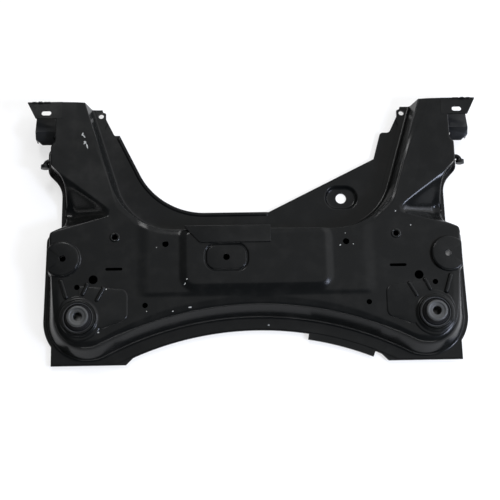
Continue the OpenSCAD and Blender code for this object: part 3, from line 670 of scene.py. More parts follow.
@dataclass(frozen=True)
class CoatedSteel:
    """Black cathodic dip coat on pressed steel: an even, semi-gloss film with a faint orange peel.

    The eye sees a charcoal black that takes soft grey light on its bends, slow waves from the press,
    dust in soft patches and a few bare marks from handling.
    """

    name: str
    black: str = "#0f1010"
    dust: str = "#1d1d1c"
    bare: str = "#9a9b98"
    roughness: tuple[float, float] = (0.17, 0.25)
    sheen: float = 0.13
    bare_roughness: float = 0.7
    peel_mm: float = 1.6
    peel_strength: float = 0.12
    wave_mm: float = 55.0
    wave_strength: float = 0.15
    dust_mm: float = 34.0
    chip_grain_mm: float = 2.5
    chips: tuple[Chip, ...] = ()

    def make(self) -> bpy.types.Material:
        """Makes the material's nodes.

        Returns:
            The material.
        """
        material, tree, place = new_finish(self.name)
        dust = noise(tree, place, self.dust_mm, 5.0, 0.6)
        colour = blend(tree, spread(tree, dust, (0.48, 0.8), (0.0, 0.55)), self.black, self.dust)
        rough = spread(tree, dust, (0.3, 0.75), self.roughness)
        if self.chips:
            mask = self.chip_mask(tree, place)
            colour = blend(tree, mask, colour, self.bare)
            rough = add_node(tree, "ShaderNodeMix", {
                "Factor": mask, "A": rough, "B": self.bare_roughness}).outputs["Result"]
        slow = bump(tree, noise(tree, place, self.wave_mm, 1.0), self.wave_strength, 0.8)
        fine = bump(tree, noise(tree, place, self.peel_mm), self.peel_strength, 0.05, slow)
        set_inputs(tree, tree.nodes[SHADER], {
            "Base Color": colour, "Roughness": rough, "Normal": fine, "Specular IOR Level": self.sheen})
        return material

    def chip_mask(self, tree: Tree, place: Socket) -> Socket:
        """Joins the marks: each is an ellipse with its edge broken up by a fine noise.

        Args:
            tree: Tree that takes the nodes.
            place: Object coordinates.

        Returns:
            A socket that is 1 inside a mark.
        """
        grain = add_node(tree, "ShaderNodeTexNoise", {
            "Vector": place, "Scale": 1 / (self.chip_grain_mm * MM), "Detail": 2.0}).outputs["Color"]
        centred = add_node(tree, "ShaderNodeVectorMath", {0: grain, 1: (0.5, 0.5, 0.5)}, operation="SUBTRACT")
        shift = add_node(tree, "ShaderNodeVectorMath", {
            0: centred.outputs[0], "Scale": 1.0 * MM}, operation="SCALE").outputs[0]
        broken = add_node(tree, "ShaderNodeVectorMath", {0: place, 1: shift}, operation="ADD").outputs[0]
        total = None
        for chip in self.chips:
            local = add_node(tree, "ShaderNodeMapping", {
                "Vector": broken,
                "Location": (chip.x * MM, chip.y * MM, chip.z * MM),
                "Rotation": (0, 0, math.radians(chip.turn)),
                "Scale": (chip.long * MM, chip.wide * MM, 8 * MM),
            }, vector_type="TEXTURE").outputs["Vector"]
            far = add_node(tree, "ShaderNodeVectorMath", {0: local}, operation="LENGTH").outputs["Value"]
            inside = spread(tree, far, (1.05, 0.85))
            total = inside if total is None else maths(tree, "MAXIMUM", total, inside)
        return total


@dataclass(frozen=True)
class MouldedRubber:
    """Moulded natural rubber with carbon black: matt, dark grey, with a dry bloom."""

    name: str = "moulded_rubber"
    black: str = "#0c0c0d"
    bloom: str = "#19191a"
    bloom_mm: float = 9.0
    grain_mm: float = 0.9
    roughness: float = 0.7
    sheen: float = 0.2

    def make(self) -> bpy.types.Material:
        """Makes the material's nodes.

        Returns:
            The material.
        """
        material, tree, place = new_finish(self.name)
        colour = blend(tree, noise(tree, place, self.bloom_mm, 4.0), self.black, self.bloom)
        grain = bump(tree, noise(tree, place, self.grain_mm), 0.3, 0.1)
        set_inputs(tree, tree.nodes[SHADER], {
            "Base Color": colour, "Normal": grain, "Roughness": self.roughness,
            "Specular IOR Level": self.sheen})
        return material


@dataclass(frozen=True)
class PlatedSteel:
    """Turned or cold-formed steel with a dull plating: grey metal with faint tool rings and stains."""

    name: str
    light: str
    dark: str
    roughness: float
    metallic: float = 0.85
    stain_mm: float = 12.0
    grit_mm: float = 1.1

    def make(self) -> bpy.types.Material:
        """Makes the material's nodes.

        Returns:
            The material.
        """
        material, tree, place = new_finish(self.name)
        colour = blend(tree, noise(tree, place, self.stain_mm, 6.0, 0.65), self.light, self.dark)
        grit = bump(tree, noise(tree, place, self.grit_mm), 0.25, 0.06)
        set_inputs(tree, tree.nodes[SHADER], {
            "Base Color": colour, "Normal": grit, "Roughness": self.roughness, "Metallic": self.metallic})
        return material


def dress(item: bpy.types.Object, material: bpy.types.Material, slot: Slot, *nodes: str) -> None:
    """Gives a new piece its finish and its body, hides the nodes that it stands for, and logs its slot in the
    record.

    Args:
        item: The piece.
        material: Its finish.
        slot: Its slot in the record.
        *nodes: CAD nodes that it replaces.
    """
    item.data.materials.clear()
    item.data.materials.append(material)
    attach(item, BODY)
    if nodes:
        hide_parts(*nodes)
    log.info("%s: %d faces, %s", item.name, len(item.data.polygons), slot.value)


@dataclass
class UpperPressing:
    """The upper pressed sheet: deck, walls, plateau, scoops, pads, lands, beads, ring boss and ears."""

    z: Sizes = SIZES
    lines: PlanLines = field(default_factory=lambda: LINES)
    knee_share: float = 0.6
    plateau_h: float = 8
    plateau_x: float = PLATEAU_X
    plateau_y: float = -119
    plateau_run: float = PLATEAU_RUN
    plateau_r: float = 14
    plateau_front: float = 26
    terrace_h: float = 2.4
    terrace_x: float = 214
    terrace_y: float = -134
    terrace_run: float = 28
    scoop_x: float = 281
    scoop_y: float = 28
    scoop_tip: float = 14
    scoop_skew: float = 0.85
    scoop_ease: float = 1.5
    ledge_h: float = 3
    top_run: float = 4.5
    corner_run: float = 13
    corner_from: float = 0.72
    corner_fade: float = 60
    wall_share: float = 0.45
    edge_run: float = 3.2
    close_w: float = 9
    edge_close_w: float = 24
    edge_close_share: float = 0.6
    bevel_soft: float = 0.25
    bevel_w: float = 19
    bevel_drop: float = 2.6
    inner_bevel_w: float = 12
    tip_bevel_w: float = 22
    tip_bevel_from: float = 0.62
    inner_bevel_drop: float = 1.8
    land_r: float = 46
    land_limit: float = 54
    land_path: tuple[tuple[float, float, float], ...] = (
        (0, 66, 0), (-96, 57, 16), (-96, -4, 16), (-46, -22, 0))
    pad_r: float = 37
    pad_h: float = 8
    pad_out: float = 3
    pad_tilt: float = 0.06
    pad_face_w: float = 6
    pad_gap: float = 2
    pad_draft: float = 3
    arm_fall: float = 3
    arm_fall_y: float = 40
    arm_fall_run: float = 100
    nut_hole_r: float = 5.5
    locating_holes: tuple[tuple[float, float, float], ...] = ((326, -108, 9), (358, -123, 5.5))
    slot: tuple[float, float] = (285, -87)
    slot_core: tuple[float, float] = (14, 0)
    slot_r: float = 3
    ring_core: tuple[float, float] = (20, 5)
    ring_r: float = 26
    ring_hole_r: float = 6.5
    bead_r: float = 4.5
    bead_places: tuple[tuple[float, float, float, float], ...] = (
        (312, -138, 118, 27), (342, -128, 114, 21), (384.5, -126.5, 72, 34))
    ear_tip_x: float = 465.8
    ear_back_x: float = 448
    ear_depth: float = 36
    ear_slot: tuple[float, float] = (426, 24.5)
    ear_slot_r: float = 5
    ear_teeth: tuple[tuple[float, float, float], ...] = ((417, 432, 2.2), (433, 443, 4.0), (445, 456, 2.6))
    cut_z: tuple[float, float] = (-5, 100)

    def stations(self) -> Array:
        """Lengths along the foot at which the sheet has a section, closer where it bends."""
        q = self.lines
        plateau = (self.plateau_x, self.plateau_x + self.plateau_run)
        marks = [0, *map(q.rear_run, plateau), q.run_corner, q.run_side, q.run_shoulder, q.run_notch,
                 q.run_arm, q.run_step, q.run_front, q.foot.end]
        counts = [36, 10, 24, 40, 20, 12, 34, 10, 10, 16]
        spans = [np.linspace(a, b, n, endpoint=False) for a, b, n in zip(marks, marks[1:], counts)]
        return np.concatenate([*spans, [q.foot.end]])

    def deck_rise(self, p: Array) -> Array:
        """Height of the deck's forms over its plain face: the plateau on a soft terrace.

        The plateau falls by a ramp with the distance from an inner rectangle, so its corners are round. The
        terrace is the product of two smooth steps.
        """
        x = np.abs(p[..., 0])
        aside = np.maximum(x - self.plateau_x + self.plateau_r, 0)
        behind = np.maximum(self.plateau_y + self.plateau_r - p[..., 1], 0)
        ahead = np.maximum(p[..., 1] + self.plateau_front, 0)
        ahead = np.where(x > self.plateau_x - self.plateau_r, ahead, 0)
        past = np.hypot(aside, np.maximum(behind, ahead)) - self.plateau_r
        rise = ramp(1 - past / self.plateau_run)
        wide = smooth((self.terrace_x + self.terrace_run - x) / self.terrace_run)
        deep = smooth((p[..., 1] - self.terrace_y + self.terrace_run / 2) / (self.terrace_run / 2))
        return (self.plateau_h - self.terrace_h) * rise + self.terrace_h * wide * deep

    def scoop_fall(self, s: Array, start: Array) -> Array:
        """Fall of the scoop at the wall: a skewed half wave between the shoulder and the arm."""
        q = self.lines
        apex = np.array([self.scoop_x, self.scoop_y])
        angle = np.arctan2(start[:, 1] - apex[1], start[:, 0] - apex[0])
        first = np.interp(q.run_shoulder, s, angle)
        last = np.interp(q.run_arm, s, angle)
        across = np.clip((angle - first) / (last - first), 0, 1)
        depth = self.z.deck_top - self.z.flange_top - self.ledge_h
        inside = (s > q.run_shoulder) & (s < q.run_arm)
        wave = np.clip(np.sin(np.pi * across**self.scoop_skew), 0, 1)
        fall = np.where(inside, depth * wave**self.scoop_ease, 0.0)
        kernel = np.array([0.25, 0.5, 0.25])
        return np.convolve(np.pad(fall, 1, mode="edge"), kernel, mode="valid")

    def sections(self) -> Array:
        """The sheet's top face as rows of points, one row for each station of the right half.

        Each row runs from the outer flange up the wall, over the deck to its knee, on to the bay's edge and
        down to the inner flange. Bends are quadratic curves between the two faces that they join.

        Returns:
            An array of stations by points by three.
        """
        z, q = self.z, self.lines
        s = self.stations()
        inward = q.foot.left(s)
        foot = q.foot.at(s)
        edge = foot + inward * q.lean(s)[:, None]
        run_in = np.interp(s, q.pairs[:, 0], q.pairs[:, 1])
        outward = q.bay.left(run_in)
        edge_in = q.bay.at(run_in)
        foot_in = edge_in + outward * z.inner_lean
        horn_run = q.bay.end - z.horn_flange_l
        wide = np.interp(run_in, [0, horn_run - z.inner_flange, horn_run],
                         [z.inner_flange, z.inner_flange, z.horn_flange])
        rim_in = foot_in + outward * (z.bend + wide)[:, None]
        apex = np.array([self.scoop_x, self.scoop_y])
        start = edge + inward * z.bend
        near = np.where(s < q.run_shoulder, smooth((s - q.run_side) / (q.run_shoulder - q.run_side)),
                        1 - smooth((s - q.run_arm) / (q.foot.end - q.run_arm)))[:, None]
        plain = edge + (edge_in - edge) * self.knee_share
        knee = plain * (1 - near) + (apex + self.scoop_tip * unit(start - apex)) * near
        fall = self.scoop_fall(s, start)
        fade = self.corner_fade
        corner = smooth((s - q.run_corner * self.corner_from) / fade)
        corner = corner * (1 - smooth((s - q.run_side + fade / 2) / fade))
        top_run = self.top_run + (self.corner_run - self.top_run) * corner
        top_run = np.minimum(top_run, self.wall_share * (z.deck_top - fall - z.flange_top))
        bevel = self.bevel_drop * (1 - smooth((s - q.run_side) / (q.run_shoulder - q.run_side)))

        lengths = np.linalg.norm(knee - edge, axis=1)
        near_edge = top_run[:, None] + np.linspace(0, 1, 6) * self.close_w
        first = near_edge / lengths[:, None]
        rest = first[:, -1:] + (1 - first[:, -1:]) * np.linspace(0, 1, 40)[1:]
        share = np.concatenate([first, rest], axis=1)
        outer = edge[:, None] + (knee - edge)[:, None] * share[..., None]
        drop = bevel[:, None] * (1 - ramp(share * lengths[:, None] / self.bevel_w, self.bevel_soft))
        outer_z = z.deck_top + self.deck_rise(outer) - drop - fall[:, None] * self.fall_curve(1 - share)
        outer = np.concatenate([outer, outer_z[..., None]], axis=2)

        in_len = np.linalg.norm(edge_in - knee, axis=1)
        in_bevel = np.interp(run_in, [0, q.bay.end * self.tip_bevel_from, q.bay.end],
                             [self.inner_bevel_w, self.inner_bevel_w, self.tip_bevel_w])
        in_first = 1 - np.minimum(self.edge_close_w / in_len, self.edge_close_share)[:, None]
        in_last = 1 - self.edge_run / in_len[:, None]
        near_bay = in_first + (in_last - in_first) * np.linspace(0, 1, 10)[1:]
        in_share = np.concatenate([in_first * np.linspace(0, 1, 20)[1:], near_bay], axis=1)
        inner = knee[:, None] + (edge_in - knee)[:, None] * in_share[..., None]
        from_edge = (1 - in_share) * in_len[:, None]
        in_drop = self.inner_bevel_drop * (1 - ramp(from_edge / in_bevel[:, None], self.bevel_soft))
        inner_z = z.deck_top + self.deck_rise(inner) - in_drop
        inner = np.concatenate([inner, inner_z[..., None]], axis=2)

        top_z = outer_z[:, 0] - bevel * top_run / self.bevel_w
        flange = z.flange_top
        edge_3 = np.column_stack([edge, top_z])
        foot_3 = np.column_stack([foot, np.full(len(s), flange)])
        rim_3 = np.column_stack([q.rim(s, 0.0), np.full(len(s), flange)])
        edge_in_3 = np.column_stack([edge_in, inner_z[:, -1]])
        foot_in_3 = np.column_stack([foot_in, np.full(len(s), flange)])
        rim_in_3 = np.column_stack([rim_in, np.full(len(s), flange)])
        foot_bend = self.bent(rim_3, foot_3, edge_3, z.bend, 6)
        top_bend = self.bent(foot_3, edge_3, outer[:, 0], top_run, 7)
        in_bend = self.bent(inner[:, -1], edge_in_3, foot_in_3, self.edge_run, 6)
        in_foot = self.bent(edge_in_3, foot_in_3, rim_in_3, z.bend, 6)
        mid = (rim_3 + foot_bend[:, 0]) / 2
        rows = np.concatenate([
            rim_3[:, None], mid[:, None], foot_bend, top_bend, outer[:, 1:], inner, in_bend, in_foot,
            rim_in_3[:, None]], axis=1)
        from_wall = np.linalg.norm(rows[..., :2] - edge[:, None], axis=2)
        across = np.clip(from_wall / np.linalg.norm(edge_in - edge, axis=1)[:, None], 0, 1)
        tilt = smooth((rows[..., 1] - self.arm_fall_y) / self.arm_fall_run) * across
        raised = slice(2 + foot_bend.shape[1], -1 - in_foot.shape[1])
        rows[:, raised, 2] -= self.arm_fall * tilt[:, raised]
        close = smooth((s - q.run_arm) / (q.foot.end - q.run_arm))
        past = close[:, None] * np.maximum(rows[-1, :, 1] - z.tip_y, 0)
        rows[..., 0] -= past * math.tan(math.radians(z.arm_angle))
        rows[..., 1] -= past
        return rows

    @staticmethod
    def fall_curve(t: Array) -> Array:
        """Share of a scoop's fall at the share t of its length: eased in, straight, level at the ledge."""
        knots = np.linspace(-0.15, 1, 200)
        slope = smooth((knots + 0.1) / 0.26) * (1 - smooth((knots - 0.78) / 0.14))
        total = np.cumsum(slope)
        start = np.interp(0, knots, total)
        return np.interp(t, knots, (total - start).clip(0) / (total[-1] - start))

    @staticmethod
    def bent(before: Array, corner: Array, after: Array, run: Array | float, count: int) -> Array:
        """Points of a bend: (1-t)^2 a + 2t(1-t) c + t^2 b, from a run before the corner to a run after.

        Args:
            before: Points that the first face comes from.
            corner: Points where the two faces would meet.
            after: Points that the second face goes to.
            run: Length of the bend on each face.
            count: Points in the bend.

        Returns:
            An array of rows by count by three.
        """
        most = 0.48  # Share of a face that a bend may take
        gap_a = np.linalg.norm(before - corner, axis=1)
        gap_b = np.linalg.norm(after - corner, axis=1)
        run_a = np.minimum(run, most * gap_a)[:, None]
        run_b = np.minimum(run, np.where(gap_b < 1.5 * np.asarray(run), gap_b, most * gap_b))[:, None]
        a = corner + (before - corner) / gap_a[:, None] * run_a
        b = corner + (after - corner) / gap_b[:, None] * run_b
        t = np.linspace(0, 1, count)[None, :, None]
        return (1 - t) ** 2 * a[:, None] + 2 * t * (1 - t) * corner[:, None] + t**2 * b[:, None]

    def sheet(self) -> MeshParts:
        """The whole sheet: the top face, and under it the same face moved in by the thickness.

        Returns:
            A closed shape.
        """
        right = self.sections()
        left = right[:0:-1] * np.array([-1, 1, 1])
        top = np.concatenate([left, right])
        rows, cols = top.shape[:2]
        normal = unit(np.cross(np.gradient(top, axis=0), np.gradient(top, axis=1)))
        if normal[rows // 2, cols // 2, 2] < 0:
            normal = -normal
        under = top - self.z.sheet_t * normal
        faces = grid_faces(rows, cols)
        turned = np.cross(top[rows // 2 + 1, cols // 2] - top[rows // 2, cols // 2],
                          top[rows // 2, cols // 2 + 1] - top[rows // 2, cols // 2])[2] > 0
        faces = faces[:, ::-1] if turned else faces
        size = rows * cols
        index = np.arange(size).reshape(rows, cols)
        loop = np.concatenate([index[0, :-1], index[:-1, -1], index[-1, :0:-1], index[:0:-1, 0]])
        ahead = np.roll(loop, -1)
        rim = np.stack([loop, ahead, ahead + size, loop + size], -1)
        rim = rim[:, ::-1] if not turned else rim
        parts = MeshParts()
        parts.add(np.concatenate([top.reshape(-1, 3), under.reshape(-1, 3)]),
                  np.concatenate([faces, faces[:, ::-1] + size, rim]))
        return parts

    def cutters(self) -> MeshParts:
        """Prisms for the holes, the slots and the ring boss's bed."""
        z = self.z
        parts = MeshParts()
        for x, y, r in (
            (z.bush_x, z.bush_y, z.bush_hole_r), (*PAD, PAD_HOLE_R), RACK_HOLE, (*FRONT_NUT, self.nut_hole_r),
            (*REAR_NUT, self.nut_hole_r), *self.locating_holes, HORN_HOLE,
        ):
            add_prism(parts, circle(x, y, r), *self.cut_z, mirrored=True)
        add_prism(parts, oval(*self.slot, self.slot_core, self.slot_r, 32), *self.cut_z, mirrored=True)
        add_prism(parts, oval(*RING, self.ring_core, self.ring_r), *self.cut_z)
        return parts

    def ring_boss(self, parts: MeshParts) -> None:
        """The oval ring pressed round the middle nut: a groove with rounded walls about a flat island."""
        top = self.z.deck_top + self.plateau_h
        low = top - self.z.sheet_t
        r = self.ring_hole_r
        groove = [(0, 0), (-0.9, -0.15), (-1.9, -0.9), (-2.7, -2.0), (-3.6, -2.6), (-4.4, -2.6), (-5.3, -2.0),
                  (-6.1, -0.9), (-7.1, -0.15), (-8, 0)]
        points, _ = oval_rings([(o, top + h) for o, h in groove], self.ring_core, self.ring_r, RING)
        hole, _ = oval_rings([(r + 0.4, top), (r, top - 0.4), (r, low)], (0, 0), 0, RING)
        bed = [(-8.5, low), (-8.5, top - 5.4), (0.4, top - 5.4), (0.4, top - 2.9)]
        under, _ = oval_rings(bed, self.ring_core, self.ring_r, RING)
        for shape in (np.concatenate([points, hole]), np.concatenate([hole[-1:], under])):
            parts.add(shape, grid_faces(len(shape), shape.shape[1], closed=True))

    def bush_land(self, parts: MeshParts) -> None:
        """The raised land round a bush: rings that follow its outline's distance from the bush axis."""
        z = self.z
        bush = np.array([z.bush_x, z.bush_y], float)
        a = np.linspace(0, 2 * np.pi, 240, endpoint=False)
        way = np.stack([np.cos(a), np.sin(a)], -1)
        p = rounded([(*(bush + (x, y)), r) for x, y, r in self.land_path], 10) - bush
        step = np.diff(p, axis=0)
        cross = way[:, None, 0] * step[None, :, 1] - way[:, None, 1] * step[None, :, 0]
        cross = np.where(np.abs(cross) < 1e-9, 1e-9, cross)
        far = (p[None, :-1, 0] * step[None, :, 1] - p[None, :-1, 1] * step[None, :, 0]) / cross
        along = (p[None, :-1, 0] * way[:, None, 1] - p[None, :-1, 1] * way[:, None, 0]) / cross
        far = np.where((along >= 0) & (along <= 1) & (far > 0), far, 0).max(axis=1)
        reach = np.maximum(far, self.land_r)
        outer = bush + way * reach[:, None]
        off = outer - self.lines.corner
        gap = np.linalg.norm(off, axis=1)
        outside = (off[:, 0] > 0) | (off[:, 1] < 0)
        beyond = (gap > self.land_limit) & outside & (reach <= self.land_r + 1)
        limit = np.where(beyond, self.land_limit / gap, 1.0)
        outer = self.lines.corner + off * limit[:, None]
        reach = np.linalg.norm(outer - bush, axis=1)
        deck = z.deck_top
        rings = [(1.6, -0.6), (0.5, 0.15), (-0.4, 0.75), (-1.4, 1.3), (-2.6, 1.5)]
        points = np.stack([np.column_stack([bush + way * (reach + o)[:, None], np.full(len(a), deck + h)])
                           for o, h in rings])
        collar = [(8, 1.5), (6, 1.8), (4.2, 3.0), (2.8, 4.6), (1.6, 5.2), (0.5, 5.0), (0, 4.4), (0, -3)]
        turned, _ = lathe([(z.bush_hole_r + o, deck + h) for o, h in collar], (z.bush_x, z.bush_y), len(a))
        whole = np.concatenate([points, turned])
        parts.add_mirrored(whole, grid_faces(len(whole), len(a), closed=True))

    def beads(self, parts: MeshParts) -> None:
        """The three stiffening beads at a bush: long rounded humps with steep sides."""
        deck = self.z.deck_top
        profile = [(1.0, -0.6), (0.2, 0.4), (-0.5, 2.0), (-1.2, 3.2), (-2.4, 3.9), (-4.5, 4.1)]
        rings = [(o, deck + h) for o, h in profile]
        for x, y, angle, length in self.bead_places:
            points, faces = oval_rings(rings, (length / 2, 0), self.bead_r, (x, y), math.radians(angle), 48)
            parts.add_mirrored(points, faces)

    def arm_pad(self, parts: MeshParts) -> None:
        """An arm pad: a disc with a rounded rim, cut flat at the side wall and carried down to the flange."""
        z = self.z
        top = z.deck_top + self.pad_h
        low = z.deck_top - 1.5
        r = self.pad_r
        profile = [(PAD_HOLE_R, top - 3), (PAD_HOLE_R, top - 0.5), (6.8, top), (r - 5, top),
                   (r - 3, top - 0.3), (r - 1.4, top - 1.3), (r - 0.4, top - 3), (r, top - 5),
                   (r + 0.8, top - 6.6), (r + 2.4, top - 7.6), (r + 4, low)]
        points, faces = lathe(profile, PAD, 120)
        points[3:, :, 0] += self.pad_out
        points[..., 2] -= self.pad_tilt * np.maximum(points[..., 0] - PAD[0] + r, 0)
        share = (z.shoulder_y - PAD[1]) / (z.shoulder_y - z.corner_y)
        face_x = z.arm_outer_x + (z.corner_x + z.corner_r - z.arm_outer_x) * share - self.pad_gap
        depth = (np.array(profile)[:, 1] - low)[:, None] / (top - low)
        out = np.clip((points[..., 0] - (face_x - self.pad_face_w)) / self.pad_face_w, 0, 1)
        face = face_x - self.pad_draft * ramp(depth, 0.4) + self.pad_gap
        points[..., 0] = np.minimum(points[..., 0], face)
        sink = smooth(out) * (1 - depth) ** 2
        points[..., 2] = points[..., 2] - sink * (low - z.flange_top - 1)
        parts.add_mirrored(points, faces[:, ::-1])

    def nut_collars(self, parts: MeshParts) -> None:
        """The low collars pressed round the front nuts' holes."""
        deck = self.z.deck_top
        profile = [(11.5, -0.4), (10.2, 0.1), (9.4, 0.9), (8.6, 1.4), (7.6, 1.5), (6.4, 1.3), (5.7, 0.7),
                   (self.nut_hole_r, -0.2), (self.nut_hole_r, -3)]
        points, faces = lathe([(r, deck + h) for r, h in profile], FRONT_NUT, 48)
        parts.add_mirrored(points, faces)

    def ear_meshes(self) -> list[bpy.types.Mesh]:
        """The flat ears at the horn tips, with their slot and the turned-up front edge."""
        z = self.z
        top = z.deck_top
        root = z.arm_front_x - z.arm_lean - 15
        back_y = z.tip_y - self.ear_depth
        outline = rounded([(root, back_y, 0), (self.ear_back_x, back_y, 3), (self.ear_tip_x, z.tip_y, 1.5),
                           (root, z.tip_y, 0)], 6)
        plates, slots, ridge = MeshParts(), MeshParts(), MeshParts()
        add_prism(plates, outline, top - z.sheet_t, top + 0.05, mirrored=True)
        x, behind = self.ear_slot
        slot = oval(x, z.tip_y - behind, (self.ear_slot_r, 0), self.ear_slot_r, 32)
        add_prism(slots, slot, top - 8, top + 8, mirrored=True)
        rear_y, front_y = z.tip_y - 3, z.tip_y - 0.2
        for x0, x1, h in self.ear_teeth:
            box = np.array([(x0, rear_y), (x1, rear_y), (x1 - 1.5, front_y), (x0 + 1.5, front_y)])
            add_prism(ridge, box, top - 2, top + h, mirrored=True)
        return [cut_away(plates.mesh("ears"), slots), ridge.mesh("ridge")]

    def build(self) -> bpy.types.Object:
        """Builds the whole pressing.

        Returns:
            The piece.
        """
        sheet = cut_away(self.sheet().mesh("sheet"), self.cutters())
        forms = MeshParts()
        self.ring_boss(forms)
        self.bush_land(forms)
        self.beads(forms)
        self.arm_pad(forms)
        self.nut_collars(forms)
        return join("upper_pressing", [sheet, forms.mesh("forms"), *self.ear_meshes()])


@dataclass
class LowerPressing:
    """The lower pressed sheet: a flat plate with the bay's lip, the torque rod dish and the rear tabs."""

    z: Sizes = SIZES
    lines: PlanLines = field(default_factory=lambda: LINES)
    front_y: float = 272
    front_bevel: tuple[float, float] = (16, 7)
    strip_y: float = 43
    bay_corner_x: float = -195
    bay_end_y: float = 215
    bay_angle: float = 26
    bay_r: float = 150
    gusset_x: float = 30
    gusset_end: tuple[float, float] = (254, 156)
    gusset_top_x: float = 271
    horn_x: float = 308
    horn_step: tuple[float, float] = (18, 20)
    rear_end_x: float = 252
    locating_x: tuple[float, float] = (109, 248)
    locating_w: float = 12
    tab_inner_x: float = 250
    tab_bevel: float = 14
    side_from_x: float = 380
    tool_hole_r: float = 5
    middle_hole_r: float = 7.5
    dish_core: tuple[float, float] = (8.5, 0)
    dish_r: float = 25.5
    dish_brim: float = 2
    cut_z: tuple[float, float] = (-5, 20)

    def bay_path(self) -> Array:
        """The bay's edge from the left horn round to the start of the gusset."""
        end_x = self.bay_corner_x - (self.bay_end_y - self.strip_y) * math.tan(math.radians(self.bay_angle))
        corner = (self.bay_corner_x, self.strip_y, self.bay_r)
        return rounded([(end_x, self.bay_end_y, 0), corner, (self.gusset_x, self.strip_y, 0)], 40)

    def rear_edge(self, x: Array, width: float) -> Array:
        """Points a width behind the rear arc's foot, at the foot's places x."""
        a = np.arcsin(x / self.lines.rear_r)
        return self.lines.rear_centre + (self.lines.rear_r - width) * np.stack([np.sin(a), np.cos(a)], -1)

    def right_rim(self, plate: bool) -> Array:
        """The outer edge of one half from the rear middle to the horn tip, with the rear tab's bevel.

        Args:
            plate: True for the half whose rear flange has the locating plate.

        Returns:
            Plan points of the edge.
        """
        z, q = self.z, self.lines
        plain = z.rear_flange + z.flange_step
        if plate:
            first, last = self.locating_x
            rear = np.concatenate([
                self.rear_edge(np.linspace(0, first, 12), plain),
                self.rear_edge(np.linspace(first, last, 20), plain + self.locating_w),
                self.rear_edge(np.linspace(last, self.rear_end_x, 3), plain)])
        else:
            rear = self.rear_edge(np.linspace(0, self.rear_end_x, 30), plain)
        tab = np.array([(self.tab_inner_x, z.tab_y + self.tab_bevel),
                        (self.tab_inner_x + self.tab_bevel, z.tab_y), (z.tab_x, z.tab_y)])
        s = np.linspace(q.run_corner, q.foot.end, 400)
        rest = q.rim(s, z.flange_step)
        near = q.foot.at(np.linspace(q.run_side, q.foot.end, 900))
        wide = z.side_flange + z.flange_step
        clear = np.linalg.norm(rest[:, None] - near[None], axis=2).min(axis=1) > wide - 0.1
        keep = (rest[:, 1] > z.tab_y + 1) & (rest[:, 0] > self.side_from_x) & clear
        return np.concatenate([rear, tab, rest[keep], [(z.arm_front_x + wide, self.front_y)]])

    def outline(self) -> Array:
        """The plate's whole edge, counterclockwise from the rear middle."""
        bay = self.bay_path()
        step_in, step_back = self.horn_step
        bevel_in, bevel_back = self.front_bevel
        low = (self.horn_x - step_in, self.bay_end_y)
        tip = [(self.horn_x, self.front_y - step_back, 8), (self.horn_x, self.front_y - bevel_back, 2),
               (self.horn_x + bevel_in, self.front_y, 0)]
        right = rounded([(*self.gusset_end, 0), (self.gusset_top_x, self.bay_end_y, 8), (*low, 8), *tip], 8)
        left = rounded([(-bay[0, 0], self.bay_end_y, 0), (*low, 4), *tip], 8) * [-1, 1]
        mirrored = (self.right_rim(False) * [-1, 1])[:0:-1]
        return np.concatenate([self.right_rim(True), right[::-1], bay[::-1], left[1:], mirrored])

    def cutters(self) -> MeshParts:
        """Prisms for the holes and the dish's bed."""
        z = self.z
        parts = MeshParts()
        for x, y, r in (
            (z.bush_x, z.bush_y, z.bush_hole_r), (*PAD, PAD_HOLE_R), RACK_HOLE, (*FRONT_NUT, self.tool_hole_r),
            (*REAR_NUT, self.tool_hole_r), HORN_HOLE,
        ):
            add_prism(parts, circle(x, y, r), *self.cut_z, mirrored=True)
        add_prism(parts, circle(*RING, self.middle_hole_r), *self.cut_z)
        add_prism(parts, oval(z.dish_x, z.dish_y, self.dish_core, self.dish_r + self.dish_brim), *self.cut_z)
        return parts

    def dish(self, parts: MeshParts) -> None:
        """The torque rod dish: a long bowl with a rounded brim, a sloped wall and a drilled floor."""
        top = self.z.plate_top
        at = (self.z.dish_x, self.z.dish_y)
        brim = self.dish_brim
        rings = [(brim, 0), (0.8, -0.2), (-0.4, -0.8), (-1.4, -1.9), (-2.6, -3.6), (-3.8, -4.9), (-5.2, -5.7),
                 (-7, -6)]
        bowl, _ = oval_rings([(o, top + h) for o, h in rings], self.dish_core, self.dish_r, at)
        hole, _ = oval_rings([(11.6, 3), (11, 2.5), (11, 0.4), (11.4, 0)], (0, 0), 0, at)
        skin = [(-6.3, 0), (-4, 0.5), (-2, 2.4), (-0.6, 4.6), (0.6, 5.8), (brim, 6)]
        under, _ = oval_rings(skin, self.dish_core, self.dish_r, at)
        whole = np.concatenate([bowl, hole, under])
        parts.add(whole, grid_faces(len(whole), whole.shape[1], closed=True))

    def lip(self, parts: MeshParts) -> None:
        """The low bead along the bay: a rounded strip carried along the bay's edge."""
        line = Polyline(self.bay_path())
        s = np.linspace(0, line.end, 160)
        at = line.at(s)
        inward = -line.left(s)
        top = self.z.plate_top
        strip = [(0.15, -1.0), (0.15, 1.2), (0.7, 1.8), (1.8, 2.0), (5, 2.0), (6.2, 1.7), (7.2, 0.9),
                 (8.4, 0.1), (9, -0.6)]
        end = smooth(np.minimum(s, line.end - s) / 6)
        rows = [np.column_stack([at + inward * o, top - 0.6 + (h + 0.6) * end]) for o, h in strip]
        parts.add(np.stack(rows), grid_faces(len(strip), len(s))[:, ::-1])

    def build(self) -> bpy.types.Object:
        """Builds the whole pressing.

        Returns:
            The piece.
        """
        plate = MeshParts()
        add_prism(plate, self.outline(), self.z.ground_gap, self.z.plate_top)
        forms = MeshParts()
        self.dish(forms)
        self.lip(forms)
        drilled = cut_away(plate.mesh("plate"), self.cutters())
        return join("lower_pressing", [drilled, forms.mesh("forms")], sharp_deg=30)


